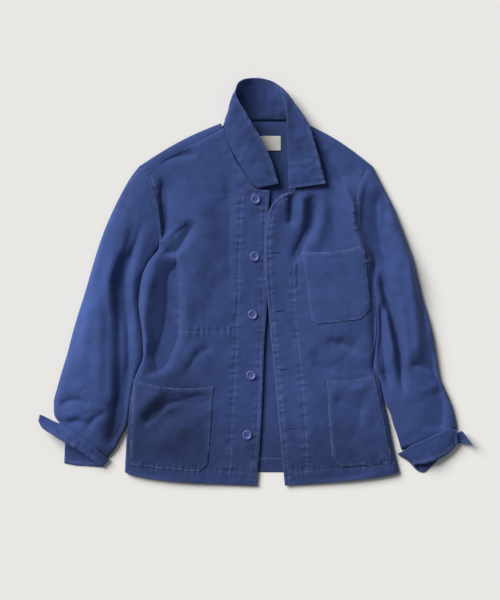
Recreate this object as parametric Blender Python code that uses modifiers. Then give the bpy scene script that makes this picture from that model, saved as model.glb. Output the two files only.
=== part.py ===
"""A cotton chore jacket lying flat on its back, open down the front, with its sleeves beside it.

X runs across the jacket (the wearer's left is +X), Y from the hem to the collar and Z up from the surface
that it lies on. Tables and sizes are in millimetres, and the meshes are made in metres.
Surfaces are the middle of the cloth: each is a grid that a Solidify modifier turns into a wall.
"""

from collections import namedtuple

import bmesh
import bpy
import numpy as np
from mathutils import Matrix, Vector
from mathutils.bvhtree import BVHTree

MM = 0.001

# Cloth and seams
CLOTH = 1.6  # wall of one panel
DOUBLE = 2.0  # wall of a collar or cuff, two layers and interlining
PATCH = 1.2  # wall of a patch pocket
LABEL = 1.0
SEAM = 0.9  # gap between two pieces that are sewn edge to edge
UNDERARM_GAP = 2.6  # extra gap where the armhole turns tightly under the arm
LAID = 0.35  # gap between a piece and the panel that it lies on
FLOOR = CLOTH / 2  # height of the back's middle surface

# Where the rows of the body panels run: 0 at the hem, 1 at the shoulder seam
UNDERARM = 0.64
SHOULDER_SEAM = 0.965  # its place along the armhole, from the underarm (0) to the shoulder fold (1)
SIDE_ROLL = 16.0  # width over which a front rounds down to its side seam
BACK_CURL = 22.0  # width over which the back curls up to its side seam
LOWEST_FOLD = 6.0  # folds of a front stop this high, clear of the back
LOWEST_CHEST = 8.5
SEAM_HALF = 1.05  # half of the drop from a front's side edge to the back's

BUTTON_RADIUS = 10.0
BUTTON_HEIGHT = 3.4
BUTTON_HOLE = 1.0
BUTTON_HOLE_PITCH = 1.9
BUTTONHOLE_LENGTH = 22.0
BUTTONHOLE_WIDTH = 1.4

Side = namedtuple("Side", "row x y seam_z")
Edge = namedtuple("Edge", "row x y z")
Arm = namedtuple("Arm", "under_x under_y fold_x fold_y bow height rim")
Ring = namedtuple("Ring", "outer_x outer_y inner_x inner_y height rim")
Fold = namedtuple("Fold", "x0 y0 x1 y1 left right depth")
Station = namedtuple("Station", "base_x base_y base_z mid_x mid_y mid_z tip_x tip_y tip_z")
Band = namedtuple("Band", "seam_x seam_y seam_z free_x free_y free_z")

# Side seams, from the hem to just under the arm
SIDE_RIGHT = (
    Side(0.000, -266, -388, 4.0),
    Side(0.104, -262, -315, 4.5),
    Side(0.187, -258, -255, 5.5),
    Side(0.271, -246, -196, 8.0),
    Side(0.343, -228, -145, 11.0),
    Side(0.389, -229, -112, 12.0),
    Side(0.487, -237, -42, 12.0),
    Side(0.554, -232, 5, 11.0),
    Side(0.600, -220, 38, 9.0),
    Side(0.640, -197, 67, 7.0),
)
SIDE_LEFT = (
    Side(0.000, 295, -388, 4.0),
    Side(0.073, 283, -339, 4.5),
    Side(0.165, 271, -278, 5.0),
    Side(0.219, 262, -241, 6.0),
    Side(0.265, 258, -210, 7.0),
    Side(0.293, 250, -192, 7.0),
    Side(0.320, 240, -173, 8.0),
    Side(0.366, 244, -142, 9.0),
    Side(0.433, 249, -97, 10.0),
    Side(0.564, 244, -9, 9.0),
    Side(0.640, 243, 42, 7.0),
)

# Armholes: the underarm point, the shoulder fold, how far the seam bows towards the body, its height
ARM_RIGHT = Arm(-197, 67, -235, 238, 15.0, 20.0, 7.0)
ARM_LEFT = Arm(243, 42, 239, 238, -31.0, 20.0, 7.0)

# Front edges and necklines, from the hem to the neck end of the shoulder seam
EDGE_RIGHT = (
    Edge(0.000, 4, -416, 5.0),
    Edge(0.187, 13, -275, 7.5),
    Edge(0.389, 19, -123, 8.0),
    Edge(0.487, 24, -49, 8.0),
    Edge(0.640, 26, 67, 8.0),
    Edge(0.760, 28, 151, 8.0),
    Edge(0.8335, 30, 188, 8.0),
    Edge(0.845, 3, 191, 9.5),
    Edge(0.875, -11, 207, 11.0),
    Edge(0.907, -26, 229, 12.0),
    Edge(0.940, -42, 254, 12.5),
    Edge(1.000, -64, 315, 13.0),
)
EDGE_LEFT = (
    Edge(0.000, 61, -416, 6.0),
    Edge(0.128, 52, -320, 9.0),
    Edge(0.293, 41, -195, 9.5),
    Edge(0.433, 31, -90, 10.0),
    Edge(0.564, 22, 9, 11.0),
    Edge(0.640, 20, 67, 11.0),
    Edge(0.698, 23, 110, 12.0),
    Edge(0.760, 28, 144, 16.0),
    Edge(0.795, 39, 164, 20.0),
    Edge(0.8335, 55, 179, 21.0),
    Edge(0.845, 82, 188, 17.0),
    Edge(0.875, 84, 210, 13.0),
    Edge(0.907, 86, 237, 12.5),
    Edge(1.000, 96, 315, 13.0),
)
CROWN_ROWS = (0.0, 0.1, 0.3, 0.5, 0.7, 0.9, 1.0)  # rows of the height of a front's middle
CROWN_HEIGHTS = (9.0, 12.0, 17.0, 19.0, 19.0, 17.0, 12.4)
HEM_BOW_RIGHT = 9.0  # the middle of a front's hem hangs this far below its ends
HEM_BOW_LEFT = 6.0

# Neck and shoulder folds of the back
NECK_RIGHT = (-64, 315)
NECK_LEFT = (96, 315)
NECKLINE_Y = 336
FOLD_AT_NECK_RIGHT = (-70, 325)
FOLD_AT_NECK_LEFT = (103, 325)
FOLD_BOW = 7.0
SEAM_Z_AT_NECK = 13.0

# Grid lines
BODY_ROWS = tuple(UNDERARM * k / 15 for k in range(15))
ARM_ROWS = (0, 0.04, 0.15, 0.31, 0.40, 0.50, 0.53, 0.69, 0.84, SHOULDER_SEAM)
FRONT_COLUMNS = (0, 0.01, 0.026, 0.055, 0.10, 0.16, 0.23, 0.31, 0.40, 0.49, 0.58, 0.67, 0.76, 0.85, 0.93, 1)
BACK_COLUMNS_SIDE = (0, 0.05, 0.14, 0.30, 0.62, 1)
NECK_COLUMNS = 3
RING_TOP = ARM_ROWS + (0.9895, 1.0)
RING_BOTTOM = RING_TOP[-2:0:-1]

# Largest folds of the fronts: a line, its reach to the left and right of it, and its depth (down is minus)
FOLDS_RIGHT = (
    Fold(-190, 196, -192, 84, 8, 16, -8),
    Fold(-176, 98, -128, 128, 14, 14, -6),
    Fold(-168, 50, -182, -40, 14, 13, -7),
    Fold(-182, -40, -224, -170, 16, 18, -9),
    Fold(-90, -232, -215, -292, 16, 20, -6),
    Fold(-60, 190, -90, 120, 30, 40, -3),
)
FOLDS_LEFT = (
    Fold(180, 200, 238, 50, 26, 12, 7),
    Fold(196, 190, 244, 66, 9, 16, -9),
    Fold(114, 176, 112, 124, 12, 14, -6),
    Fold(112, 124, 82, 46, 13, 12, -6),
    Fold(74, 178, 78, 116, 11, 12, -5),
    Fold(150, -118, 214, -132, 16, 20, -4),
    Fold(120, -140, 160, -180, 20, 20, -3),
)

# Sleeves, from the armhole to the cuff
SLEEVE_RIGHT = (
    Ring(-254, 214, -211.5, 54, 22, 7),
    Ring(-275, 177, -224.2, 36, 23, 7),
    Ring(-293, 140, -232.8, 15, 24, 7.5),
    Ring(-310, 99, -236.8, -5, 24, 8),
    Ring(-324, 58, -239.4, -26, 25, 8),
    Ring(-336, 17, -240.1, -46, 25, 8),
    Ring(-348, -24, -236.0, -81, 25, 8),
    Ring(-361, -65, -231.9, -118, 25, 8),
    Ring(-373, -106, -232.1, -153, 25, 8),
    Ring(-383, -145, -245.7, -186, 25, 8),
    Ring(-394, -181, -256.0, -224, 24, 8),
    Ring(-404, -216, -261.4, -257, 24, 7.5),
    Ring(-411, -245, -263.6, -286, 23, 7),
    Ring(-411, -263, -276.0, -313, 20, 6.5),
    Ring(-409, -274, -288.0, -337, 17, 6),
    Ring(-406, -279, -300.0, -353, 14, 5),
)
SLEEVE_LEFT = (
    Ring(252, 214, 246.6, 21, 22, 7),
    Ring(269, 181, 246.9, 1, 23, 7),
    Ring(284, 151, 247.6, -19, 24, 7.5),
    Ring(298, 116, 249.2, -42, 24, 8),
    Ring(312, 79, 251.0, -67, 25, 8),
    Ring(324, 44, 252.2, -93, 25, 8),
    Ring(334, 3, 250.3, -120, 25, 8),
    Ring(344, -38, 248.5, -147, 25, 8),
    Ring(356, -79, 247.8, -177, 25, 8),
    Ring(365, -118, 258.3, -202, 25, 8),
    Ring(371, -155, 263.0, -222, 24, 8),
    Ring(377, -192, 265.9, -245, 23, 7.5),
    Ring(386, -214, 271.8, -268, 23, 7),
    Ring(398, -241, 276.7, -290, 22, 6.5),
    Ring(407, -269, 292.0, -313, 20, 6),
    Ring(412, -293, 301.0, -335, 17, 5),
)
SLEEVE_FOLDS_RIGHT = (
    Fold(-283, -20, -282, -320, 18, 16, -12),
    Fold(-262, 60, -283, -20, 14, 16, -6),
)
SLEEVE_FOLDS_LEFT = (
    Fold(256, 20, 292, -120, 10, 16, -9),
    Fold(320, 60, 336, -180, 40, 10, 3),
)
UNDER_LAYER_REACH = 20.0  # how far the lower layer of the right sleeve's end reaches past the upper one

# Collar stations, from the wearer's right front end round the neck to the left one
COLLAR = (
    Station(3, 193, 12.5, 25, 197, 16, 48, 202, 18),
    Station(-10, 206, 15, 14, 214, 20, 41, 227, 22),
    Station(-23, 228, 17, 2, 243, 24, 28, 261, 27),
    Station(-35, 247, 17, -12, 272, 27, 9, 298, 32),
    Station(-49, 274, 18, -29, 298, 30, -6, 323, 38),
    Station(-57, 298, 18, -40, 323, 33, -19, 345, 43),
    Station(-62, 318, 17.5, -51, 347, 36, -34, 369, 48),
    Station(-59, 332, 14, -52, 360, 34, -40, 384, 50),
    Station(-49, 334, 8, -46, 370, 30, -37, 400, 48),
    Station(-25, 333, 4.6, -28, 378, 22, -22, 412, 40),
    Station(6, 333, 4.2, 6, 378, 14, 4, 416, 28),
    Station(35, 333, 4.2, 37, 376, 17, 31, 411, 26),
    Station(59, 333, 5, 55, 368, 24, 51, 399, 25),
    Station(76, 332, 9, 65, 352, 31, 70, 380, 22),
    Station(88, 327, 14, 65, 329, 33, 92, 350, 21),
    Station(92, 314, 16, 66, 304, 34, 111, 319, 22),
    Station(86, 287, 16.5, 68, 280, 33, 121, 286, 24),
    Station(83, 255, 16.5, 71, 251, 31, 130, 255, 25),
    Station(81, 220, 17, 74, 218, 28, 138, 224, 24),
    Station(79, 191, 21, 77, 192, 25, 144, 201, 23),
)
COLLAR_STEPS = 28
COLLAR_ROWS = 6

CUFF_RIGHT = (
    Band(-440, -270, 15, -442, -283, 20),
    Band(-430, -274, 14, -434, -296, 27),
    Band(-411, -284, 14, -416, -308, 31),
    Band(-389, -292, 14.5, -397, -320, 32),
    Band(-368, -305, 16.8, -376, -332, 30),
    Band(-348, -319, 17.2, -357, -343, 25),
    Band(-328, -333, 16.5, -340, -356, 20),
    Band(-314, -349, 14, -326, -367, 14),
    Band(-299, -360, 8, -313, -377, 6),
    Band(-310, -360, 1.8, -321, -378, 1.4),
    Band(-334, -352, 1.0, -340, -376, 1.0),
    Band(-359, -342, 1.0, -363, -375, 1.0),
    Band(-389, -317, 1.0, -391, -370, 1.0),
)
CUFF_LEFT = (
    Band(411, -300, 20, 414, -328, 14),
    Band(394, -298, 22, 405, -340, 12),
    Band(377, -306, 21, 395, -350, 12),
    Band(359, -315, 20, 379, -359, 14),
    Band(338, -324, 19.4, 361, -366, 16),
    Band(318.5, -333, 17, 340, -371, 15),
    Band(303, -345, 10, 325, -372, 11),
    Band(293, -350, 5, 330, -381, 5.5),
    Band(299, -352, 1.4, 344, -389, 1.3),
    Band(320, -347, 1.0, 361, -377, 1.0),
    Band(346, -337, 1.0, 380, -359, 1.0),
    Band(379, -323, 1.0, 404, -339, 2.0),
    Band(406, -312, 4.0, 420, -329, 6.0),
    Band(421, -304, 14.0, 435, -330, 12.0),
    Band(428, -311, 24.0, 444, -333, 18.0),
)
CUFF_STEPS = 22
CUFF_ROWS = 3

# Patch pockets: corners round the outline; a dip is where an opening sags
CHEST_POCKET = ((96, 63), (223, 77), (236, -54), (215, -75), (126, -85), (114, -73), (111, -50), (99, 19))
HIP_POCKET_RIGHT = ((-248, -198), (-85, -212), (-97, -371), (-114, -387), (-226, -377), (-257, -373))
HIP_POCKET_LEFT = (
    (147, -199), (187, -200), (243, -189), (279, -360), (278, -369), (176, -378), (158, -360), (152, -286),
)

LABEL_CORNER = (-15, 270)
LABEL_SIZE = (68, 30)
BUTTONS = ((1, 170), (-1, 53), (-5, -66), (-8, -190), (-16, -312))
BUTTONHOLES = ((43, 60), (51, -59), (61, -179), (77, -300))

BLUE = (0.036, 0.061, 0.195, 1)
BLUE_LIGHT = (0.075, 0.100, 0.300, 1)
LABEL_GREY = (0.62, 0.62, 0.58, 1)


def column(table, name):
    return np.array([getattr(row, name) for row in table], float)


def through(knots, values, at):
    """The values at some places on a smooth curve through the knots that doesn't overshoot them."""
    knots, values, at = (np.asarray(v, float) for v in (knots, values, at))
    step = np.diff(knots)
    slope = np.diff(values) / step
    product = slope[1:] * slope[:-1]
    total = slope[1:] + slope[:-1]
    inner = np.where(product > 0, 2 * product / np.where(product > 0, total, 1), 0)
    tangent = np.concatenate([slope[:1], inner, slope[-1:]])
    k = np.clip(np.searchsorted(knots, at, "right") - 1, 0, len(step) - 1)
    t = (at - knots[k]) / step[k]
    rise = values[k + 1] - values[k]
    start, end = tangent[k] * step[k], tangent[k + 1] * step[k]
    return values[k] + t * start + t**2 * (3 * rise - 2 * start - end) + t**3 * (start + end - 2 * rise)


def smooth(t):
    t = np.clip(t, 0, 1)
    return t * t * (3 - 2 * t)


def quarter(t):
    """A quarter of a circle: up steeply from 0, level at 1."""
    return np.sqrt(1 - (1 - np.clip(t, 0, 1)) ** 2)


def fold_height(folds, x, y):
    """The sum of the folds at a place: each is a soft trough or ridge that fades at its ends."""
    total = np.zeros(np.broadcast(x, y).shape)
    for f in folds:
        along = np.array([f.x1 - f.x0, f.y1 - f.y0], float)
        length = np.hypot(*along)
        along /= length
        t = ((x - f.x0) * along[0] + (y - f.y0) * along[1]) / length
        across = (x - f.x0) * along[1] - (y - f.y0) * along[0]
        reach = np.where(across * np.sign(along[1] + 1e-9) < 0, f.left, f.right)
        ends = smooth((t + 0.15) / 0.35) * smooth((1.15 - t) / 0.35)
        total += f.depth * ends * np.exp(-((across / reach) ** 2))
    return total


# Body panels


def ring_top(s, height, rim):
    return rim + (height - rim) * np.sqrt(1 - np.abs(2 * s - 1) ** 2.6)


def ring_bottom(s, rim):
    return FLOOR + (rim - FLOOR) * np.abs(2 * s - 1) ** 6


def armhole(arm, s):
    """Plan position along an armhole, from the underarm to the shoulder fold."""
    x = arm.under_x + (arm.fold_x - arm.under_x) * s
    y = arm.under_y + (arm.fold_y - arm.under_y) * s
    return x + arm.bow * np.sin(np.pi * np.clip(s, 0, 1)) ** 0.8, y


def body_rows():
    """(row, place along the armhole or None) of each grid row."""
    rows = [(row, None) for row in BODY_ROWS]
    scale = (1 - UNDERARM) / SHOULDER_SEAM
    return rows + [(UNDERARM + s * scale, s) for s in ARM_ROWS]


def side_point(side, arm, row, s, above):
    """Where a panel ends at the side seam or the armhole; above is +1 for a front and -1 for the back."""
    if s is None or s == 0:
        rows = column(side, "row")
        x, y, z = (through(rows, column(side, name), row) for name in ("x", "y", "seam_z"))
        return x, y, z + above * SEAM_HALF
    x, y = armhole(arm, s)
    return x, y, ring_top(s, arm.height, arm.rim) if above > 0 else ring_bottom(s, arm.rim)


def front_grid(side, arm, edge, folds, hem_bow):
    """Rows of points of a front's middle surface."""
    u = np.array(FRONT_COLUMNS)
    rows = column(edge, "row")
    grid = []
    for row, s in body_rows():
        side_x, side_y, side_z = side_point(side, arm, row, s, 1)
        edge_x, edge_y, edge_z = (through(rows, column(edge, name), row) for name in ("x", "y", "z"))
        x = side_x + (edge_x - side_x) * u
        y = side_y + (edge_y - side_y) * u
        y = y - hem_bow * np.sin(np.pi * u**0.6) * smooth(1 - row / 0.25)
        crown = through(CROWN_ROWS, CROWN_HEIGHTS, row)
        top = crown + (edge_z - crown) * smooth((u - 0.35) / 0.65)
        from_side = np.hypot(x - side_x, y - side_y)
        z = side_z + (top - side_z) * quarter(from_side / SIDE_ROLL)
        from_edge = np.hypot(x - edge_x, y - edge_y)
        inside = smooth(from_side / 12) * smooth(from_edge / 14) * smooth((1 - row) / 0.05)
        z = z + fold_height(folds, x, y) * inside
        lowest = LOWEST_FOLD if row < UNDERARM else LOWEST_CHEST
        z = np.maximum(z, lowest) * inside + z * (1 - inside)
        grid.append(np.stack([x, y, z], -1))
    return np.array(grid)


def back_columns():
    """The places across the back, with the neck's ends among them."""
    right_x, left_x = armhole(ARM_RIGHT, SHOULDER_SEAM)[0], armhole(ARM_LEFT, SHOULDER_SEAM)[0]
    neck = [(corner[0] - right_x) / (left_x - right_x) for corner in (NECK_RIGHT, NECK_LEFT)]
    side = np.array(BACK_COLUMNS_SIDE)
    middle = np.linspace(neck[0], neck[1], NECK_COLUMNS + 1)
    return np.concatenate([side * neck[0], middle[1:-1], (1 - side * (1 - neck[1]))[::-1]]), neck


def back_grid():
    """Rows of the back's middle surface, from the hem to below the shoulder seams."""
    u, neck = back_columns()
    right_end, left_end = armhole(ARM_RIGHT, SHOULDER_SEAM), armhole(ARM_LEFT, SHOULDER_SEAM)
    top_y = np.interp(u, [0, neck[0], neck[1], 1], [right_end[1], NECK_RIGHT[1], NECK_LEFT[1], left_end[1]])
    rise = top_y - (right_end[1] + (left_end[1] - right_end[1]) * u)
    grid = []
    for row, s in body_rows():
        right = side_point(SIDE_RIGHT, ARM_RIGHT, row, s, -1)
        left = side_point(SIDE_LEFT, ARM_LEFT, row, s, -1)
        x = right[0] + (left[0] - right[0]) * u
        y = right[1] + (left[1] - right[1]) * u + rise * smooth((row - 0.5) / 0.5)
        z = FLOOR + np.zeros_like(x)
        for end in (right, left):
            near = np.clip(1 - np.abs(x - end[0]) / BACK_CURL, 0, 1) ** 2
            z = z + (end[2] - FLOOR) * near
        grid.append(np.stack([x, y, z], -1))
    return np.array(grid)


def shoulder_rows(arm, neck, fold_at_neck, share):
    """The rows that carry the back over a shoulder fold to the seam; share is 0 at the armhole."""
    seam_start = np.array(armhole(arm, SHOULDER_SEAM))
    fold_start = np.array(armhole(arm, 1.0))
    seam = seam_start + (np.array(neck) - seam_start) * share[:, None]
    fold = fold_start + (np.array(fold_at_neck) - fold_start) * share[:, None]
    fold[:, 1] += FOLD_BOW * np.sin(np.pi * share)
    reach = np.linalg.norm(seam - fold, axis=1, keepdims=True)
    seam_at_arm = ring_top(SHOULDER_SEAM, arm.height, arm.rim)
    seam_z = seam_at_arm + (SEAM_Z_AT_NECK - seam_at_arm) * share
    rows = []
    for q, top in ((0.3, False), (0.0, True), (0.3, True), (1.0, True)):
        place = fold + (seam - fold) * q * (1 - SEAM / reach if q == 1 else 1)
        s = 1 - q * (1 - SHOULDER_SEAM)
        at_arm = ring_top(s, arm.height, arm.rim) if top else ring_bottom(s, arm.rim)
        if top:
            inside = arm.rim + (seam_z - arm.rim) * quarter(q)
        else:
            inside = FLOOR + (arm.rim - FLOOR) * (1 - q) ** 2
        near = np.clip(1 - share * 4, 0, 1) ** 2
        rows.append(np.column_stack([place, inside + (at_arm - inside) * near]))
    return np.array(rows)


# Sleeves, collar and cuffs


def sleeve_grid(arm, rings, folds, under_reach):
    """Closed rings of a sleeve's middle surface, from the armhole to the cuff."""
    s = np.array(RING_TOP + RING_BOTTOM)
    on_top = np.arange(len(s)) < len(RING_TOP)
    outward = -np.sign(arm.bow)
    x, y = armhole(arm, s)
    gap = SEAM + UNDERARM_GAP * smooth(1 - s / 0.25)
    z = np.where(on_top, ring_top(s, arm.height, arm.rim), ring_bottom(s, arm.rim))
    first = np.stack([x + outward * gap, y, z], -1)
    grid = [first]
    for k, ring in enumerate(rings):
        x = ring.inner_x + (ring.outer_x - ring.inner_x) * s
        y = ring.inner_y + (ring.outer_y - ring.inner_y) * s
        above_arm = smooth((y - arm.under_y - 2) / 40)
        x = x + arm.bow * np.sin(np.pi * s) ** 0.8 * max(0.0, 1 - (k + 1) / 4) * above_arm
        z = np.where(on_top, ring_top(s, ring.height, ring.rim), ring_bottom(s, ring.rim))
        inside = smooth(np.minimum(s, 1 - s) / 0.16)
        folded = np.maximum(z + fold_height(folds, x, y) * inside, FLOOR + 5.5)
        z = np.where(on_top & (inside > 0), folded, z)
        last = k / (len(rings) - 1)
        y = y - np.where(on_top, 0, under_reach * np.sin(np.pi * s) * smooth((last - 0.8) / 0.2))
        grid.append(np.stack([x, y, z], -1))
    return np.array(grid)


def strip_grid(table, steps, rows, names):
    """A strip through a table of stations, each with two or three named points across."""
    place = np.linspace(0, len(table) - 1, steps + 1)
    knots = np.arange(len(table))
    across = [
        np.column_stack([through(knots, column(table, name + axis), place) for axis in ("_x", "_y", "_z")])
        for name in names
    ]
    t = np.linspace(0, 1, rows + 1)[:, None, None]
    if len(across) == 2:
        return across[0] * (1 - t) + across[1] * t
    low, middle, high = across
    control = 2 * middle - (low + high) / 2
    return low * (1 - t) ** 2 + control * 2 * t * (1 - t) + high * t**2


# Meshes


def material(name, colour, roughness):
    made = bpy.data.materials.new(name)
    made.use_nodes = True
    shader = made.node_tree.nodes["Principled BSDF"]
    shader.inputs["Base Color"].default_value = colour
    shader.inputs["Roughness"].default_value = roughness
    return made


def put(name, mesh, finish, thickness=None):
    """An object in the jacket's collection; a thickness turns its surface into a wall."""
    thing = bpy.data.objects.new(name, mesh)
    bpy.data.collections["chore_jacket"].objects.link(thing)
    mesh.materials.append(material(name, *finish))
    if thickness:
        wall = thing.modifiers.new("wall", "SOLIDIFY")
        wall.thickness = thickness * MM
        wall.offset = 0
    return thing


def grid_bmesh(grid, closed=False, keep=None):
    """Triangles through a grid of points in millimetres; keep says which cells are made."""
    made = bmesh.new()
    verts = {}
    rows, columns = grid.shape[:2]
    last = columns if closed else columns - 1
    for i in range(rows - 1):
        for j in range(last):
            if keep and not keep(i, j):
                continue
            corners = [(i, j), (i, (j + 1) % columns), (i + 1, (j + 1) % columns), (i + 1, j)]
            for corner in corners:
                if corner not in verts:
                    verts[corner] = made.verts.new(grid[corner] * MM)
            a, b, c, d = (verts[corner] for corner in corners)
            if (a.co - c.co).length < (b.co - d.co).length:
                halves = ((a, b, c), (a, c, d))
            else:
                halves = ((a, b, d), (b, c, d))
            for half in halves:
                made.faces.new(half)
    made.normal_update()
    return made


def mesh_of(made, name):
    mesh = bpy.data.meshes.new(name)
    made.to_mesh(mesh)
    made.free()
    mesh.shade_smooth()
    return mesh


def front(name, grid):
    return put(name, mesh_of(grid_bmesh(grid), name), (BLUE, 0.9), CLOTH)


def back():
    u, neck = back_columns()
    body = back_grid()
    count = len(BACK_COLUMNS_SIDE)
    share = u[:count] / neck[0]
    right = shoulder_rows(ARM_RIGHT, NECK_RIGHT, FOLD_AT_NECK_RIGHT, share)
    left = shoulder_rows(ARM_LEFT, NECK_LEFT, FOLD_AT_NECK_LEFT, ((1 - u[-count:]) / (1 - neck[1])))
    full = np.zeros((len(body) + len(right), len(u), 3))
    full[: len(body)] = body
    full[len(body) :, :count] = right
    full[len(body) :, -count:] = left
    inner = slice(count, len(u) - count)
    neckline = body[-1, inner].copy()
    neckline[:, 1] = NECKLINE_Y
    full[len(body), inner] = neckline
    top = len(body) - 1

    def keep(i, j):
        return i < top or j < count - 1 or j >= len(u) - count or (i == top and count - 1 <= j)

    made = grid_bmesh(full, keep=keep)
    return put("back", mesh_of(made, "back"), (BLUE, 0.9), CLOTH)


def inside_polygon(corners, x, y):
    inside = False
    for (ax, ay), (bx, by) in zip(corners, corners[1:] + corners[:1]):
        if (ay > y) != (by > y) and x < ax + (y - ay) * (bx - ax) / (by - ay):
            inside = not inside
    return inside


def pocket(name, grid, outline):
    """A patch cut from a front's own surface and moved out along its normals."""
    made = grid_bmesh(grid)
    lift = (CLOTH / 2 + LAID + PATCH / 2) * MM
    moves = [(v, v.normal.copy()) for v in made.verts]
    for vert, normal in moves:
        vert.co += normal * (lift if normal.z > 0 else -lift)
    corners = [Vector((x * MM, y * MM, 0)) for x, y in outline]
    for a, b in zip(corners, corners[1:] + corners[:1]):
        outward = Vector((b.y - a.y, a.x - b.x, 0)).normalized()
        turn = -1 if outward.dot(sum(corners, Vector()) / len(corners) - a) > 0 else 1
        geometry = made.verts[:] + made.edges[:] + made.faces[:]
        bmesh.ops.bisect_plane(
            made, geom=geometry, dist=1e-7, plane_co=a, plane_no=outward * turn, clear_outer=True
        )
    return put(name, mesh_of(made, name), (BLUE, 0.9), PATCH)


def surface_under(grid, x, y):
    """The place and the upward normal of a grid's surface below a point."""
    made = grid_bmesh(grid)
    tree = BVHTree.FromBMesh(made)
    made.free()
    place, normal, _, _ = tree.ray_cast(Vector((x * MM, y * MM, 1)), Vector((0, 0, -1)))
    return place, normal if normal.z > 0 else -normal


def button_profile():
    """Half of a button's section, standing on z = 0 with a raised rim."""
    rim = ((6.6, 3.0), (8.2, BUTTON_HEIGHT), (9.6, 2.6), (BUTTON_RADIUS, 1.5), (8.4, 0))
    profile = ((0, 2.0), (5.6, 2.0)) + rim + ((0, 0),)
    made = bmesh.new()
    verts = [made.verts.new((r * MM, 0, z * MM)) for r, z in profile]
    for a, b in zip(verts, verts[1:]):
        made.edges.new((a, b))
    mesh = bpy.data.meshes.new("button_profile")
    made.to_mesh(mesh)
    made.free()
    return mesh


def button(name, grid, x, y):
    place, normal = surface_under(grid, x, y)
    thing = put(name, button_profile(), (BLUE_LIGHT, 0.45))
    turn = thing.modifiers.new("turn", "SCREW")
    turn.steps = turn.render_steps = 12
    turn.use_merge_vertices = True
    turn.merge_threshold = 0.00005
    turn.use_normal_flip = False
    holes = thing.modifiers.new("holes", "BOOLEAN")
    holes.operation = "DIFFERENCE"
    lean = Vector((0, 0, 1)).rotation_difference(normal).to_matrix().to_4x4()
    lift = (CLOTH / 2 + LAID) * MM
    thing.matrix_world = Matrix.Translation(place + normal * lift) @ lean
    holes.object = hole_cutter(name + "_cutter", thing.matrix_world)


def hole_cutter(name, placed):
    """Four pins that cut a button's sewing holes, at the place of one button."""
    made = bmesh.new()
    half = BUTTON_HOLE_PITCH * MM
    for x in (-half, half):
        for y in (-half, half):
            at = Matrix.Translation((x, y, BUTTON_HEIGHT * MM / 2))
            size = BUTTON_HOLE * MM
            bmesh.ops.create_cone(
                made, cap_ends=True, segments=5, radius1=size, radius2=size, depth=0.01, matrix=at
            )
    mesh = bpy.data.meshes.new(name)
    made.to_mesh(mesh)
    made.free()
    thing = bpy.data.objects.new(name, mesh)
    bpy.data.collections["cutters"].objects.link(thing)
    thing.hide_render = True
    thing.display_type = "WIRE"
    thing.matrix_world = placed
    return thing


def cut_buttonholes(panel, grid):
    """Slots through the left front, across its edge."""
    made = bmesh.new()
    for x, y in BUTTONHOLES:
        place, _ = surface_under(grid, x, y)
        size = (BUTTONHOLE_LENGTH * MM, BUTTONHOLE_WIDTH * MM, 0.014)
        bmesh.ops.create_cube(made, size=1, matrix=Matrix.Translation(place) @ Matrix.Diagonal((*size, 1)))
    mesh = bpy.data.meshes.new("buttonhole_cutter")
    made.to_mesh(mesh)
    made.free()
    thing = bpy.data.objects.new("buttonhole_cutter", mesh)
    bpy.data.collections["cutters"].objects.link(thing)
    thing.hide_render = True
    thing.display_type = "WIRE"
    slots = panel.modifiers.new("buttonholes", "BOOLEAN")
    slots.operation = "DIFFERENCE"
    slots.object = thing


def label():
    made = bmesh.new()
    width, height = LABEL_SIZE
    centre = Vector((LABEL_CORNER[0] + width / 2, LABEL_CORNER[1] + height / 2, CLOTH + LAID + LABEL / 2))
    size = Vector((width, height, LABEL))
    place = Matrix.Translation(centre * MM) @ Matrix.Diagonal((*(size * MM), 1))
    bmesh.ops.create_cube(made, size=1, matrix=place)
    return put("label", mesh_of(made, "label"), (LABEL_GREY, 0.85))


def main():
    for thing in list(bpy.data.objects):
        bpy.data.objects.remove(thing)
    for name in ("chore_jacket", "cutters"):
        bpy.context.scene.collection.children.link(bpy.data.collections.new(name))
    bpy.data.collections["cutters"].hide_render = True

    right = front_grid(SIDE_RIGHT, ARM_RIGHT, EDGE_RIGHT, FOLDS_RIGHT, HEM_BOW_RIGHT)
    left = front_grid(SIDE_LEFT, ARM_LEFT, EDGE_LEFT, FOLDS_LEFT, HEM_BOW_LEFT)
    back()
    front("front_right", right)
    cut_buttonholes(front("front_left", left), left)
    for name, arm, rings, folds, reach in (
        ("sleeve_right", ARM_RIGHT, SLEEVE_RIGHT, SLEEVE_FOLDS_RIGHT, UNDER_LAYER_REACH),
        ("sleeve_left", ARM_LEFT, SLEEVE_LEFT, SLEEVE_FOLDS_LEFT, 0),
    ):
        made = grid_bmesh(sleeve_grid(arm, rings, folds, reach), closed=True)
        put(name, mesh_of(made, name), (BLUE, 0.9), CLOTH)
    for name, table in (("cuff_right", CUFF_RIGHT), ("cuff_left", CUFF_LEFT)):
        made = grid_bmesh(strip_grid(table, CUFF_STEPS, CUFF_ROWS, ("seam", "free")))
        put(name, mesh_of(made, name), (BLUE, 0.9), DOUBLE)
    made = grid_bmesh(strip_grid(COLLAR, COLLAR_STEPS, COLLAR_ROWS, ("base", "mid", "tip")))
    put("collar", mesh_of(made, "collar"), (BLUE, 0.9), DOUBLE)
    pocket("chest_pocket", left, CHEST_POCKET)
    pocket("hip_pocket_left", left, HIP_POCKET_LEFT)
    pocket("hip_pocket_right", right, HIP_POCKET_RIGHT)
    label()
    for k, (x, y) in enumerate(BUTTONS, 1):
        button(f"button_{k}", right, x, y)


main()
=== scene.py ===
"""The looks of the chore jacket: its cloth, folds, seams, stitches and buttons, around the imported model.

Sizes are in millimetres and turned into metres where a mesh is made. The panels are the model's own surfaces,
drawn finely, with the smaller folds and the puckers of the seams added.
"""

import math
from collections import namedtuple

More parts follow.
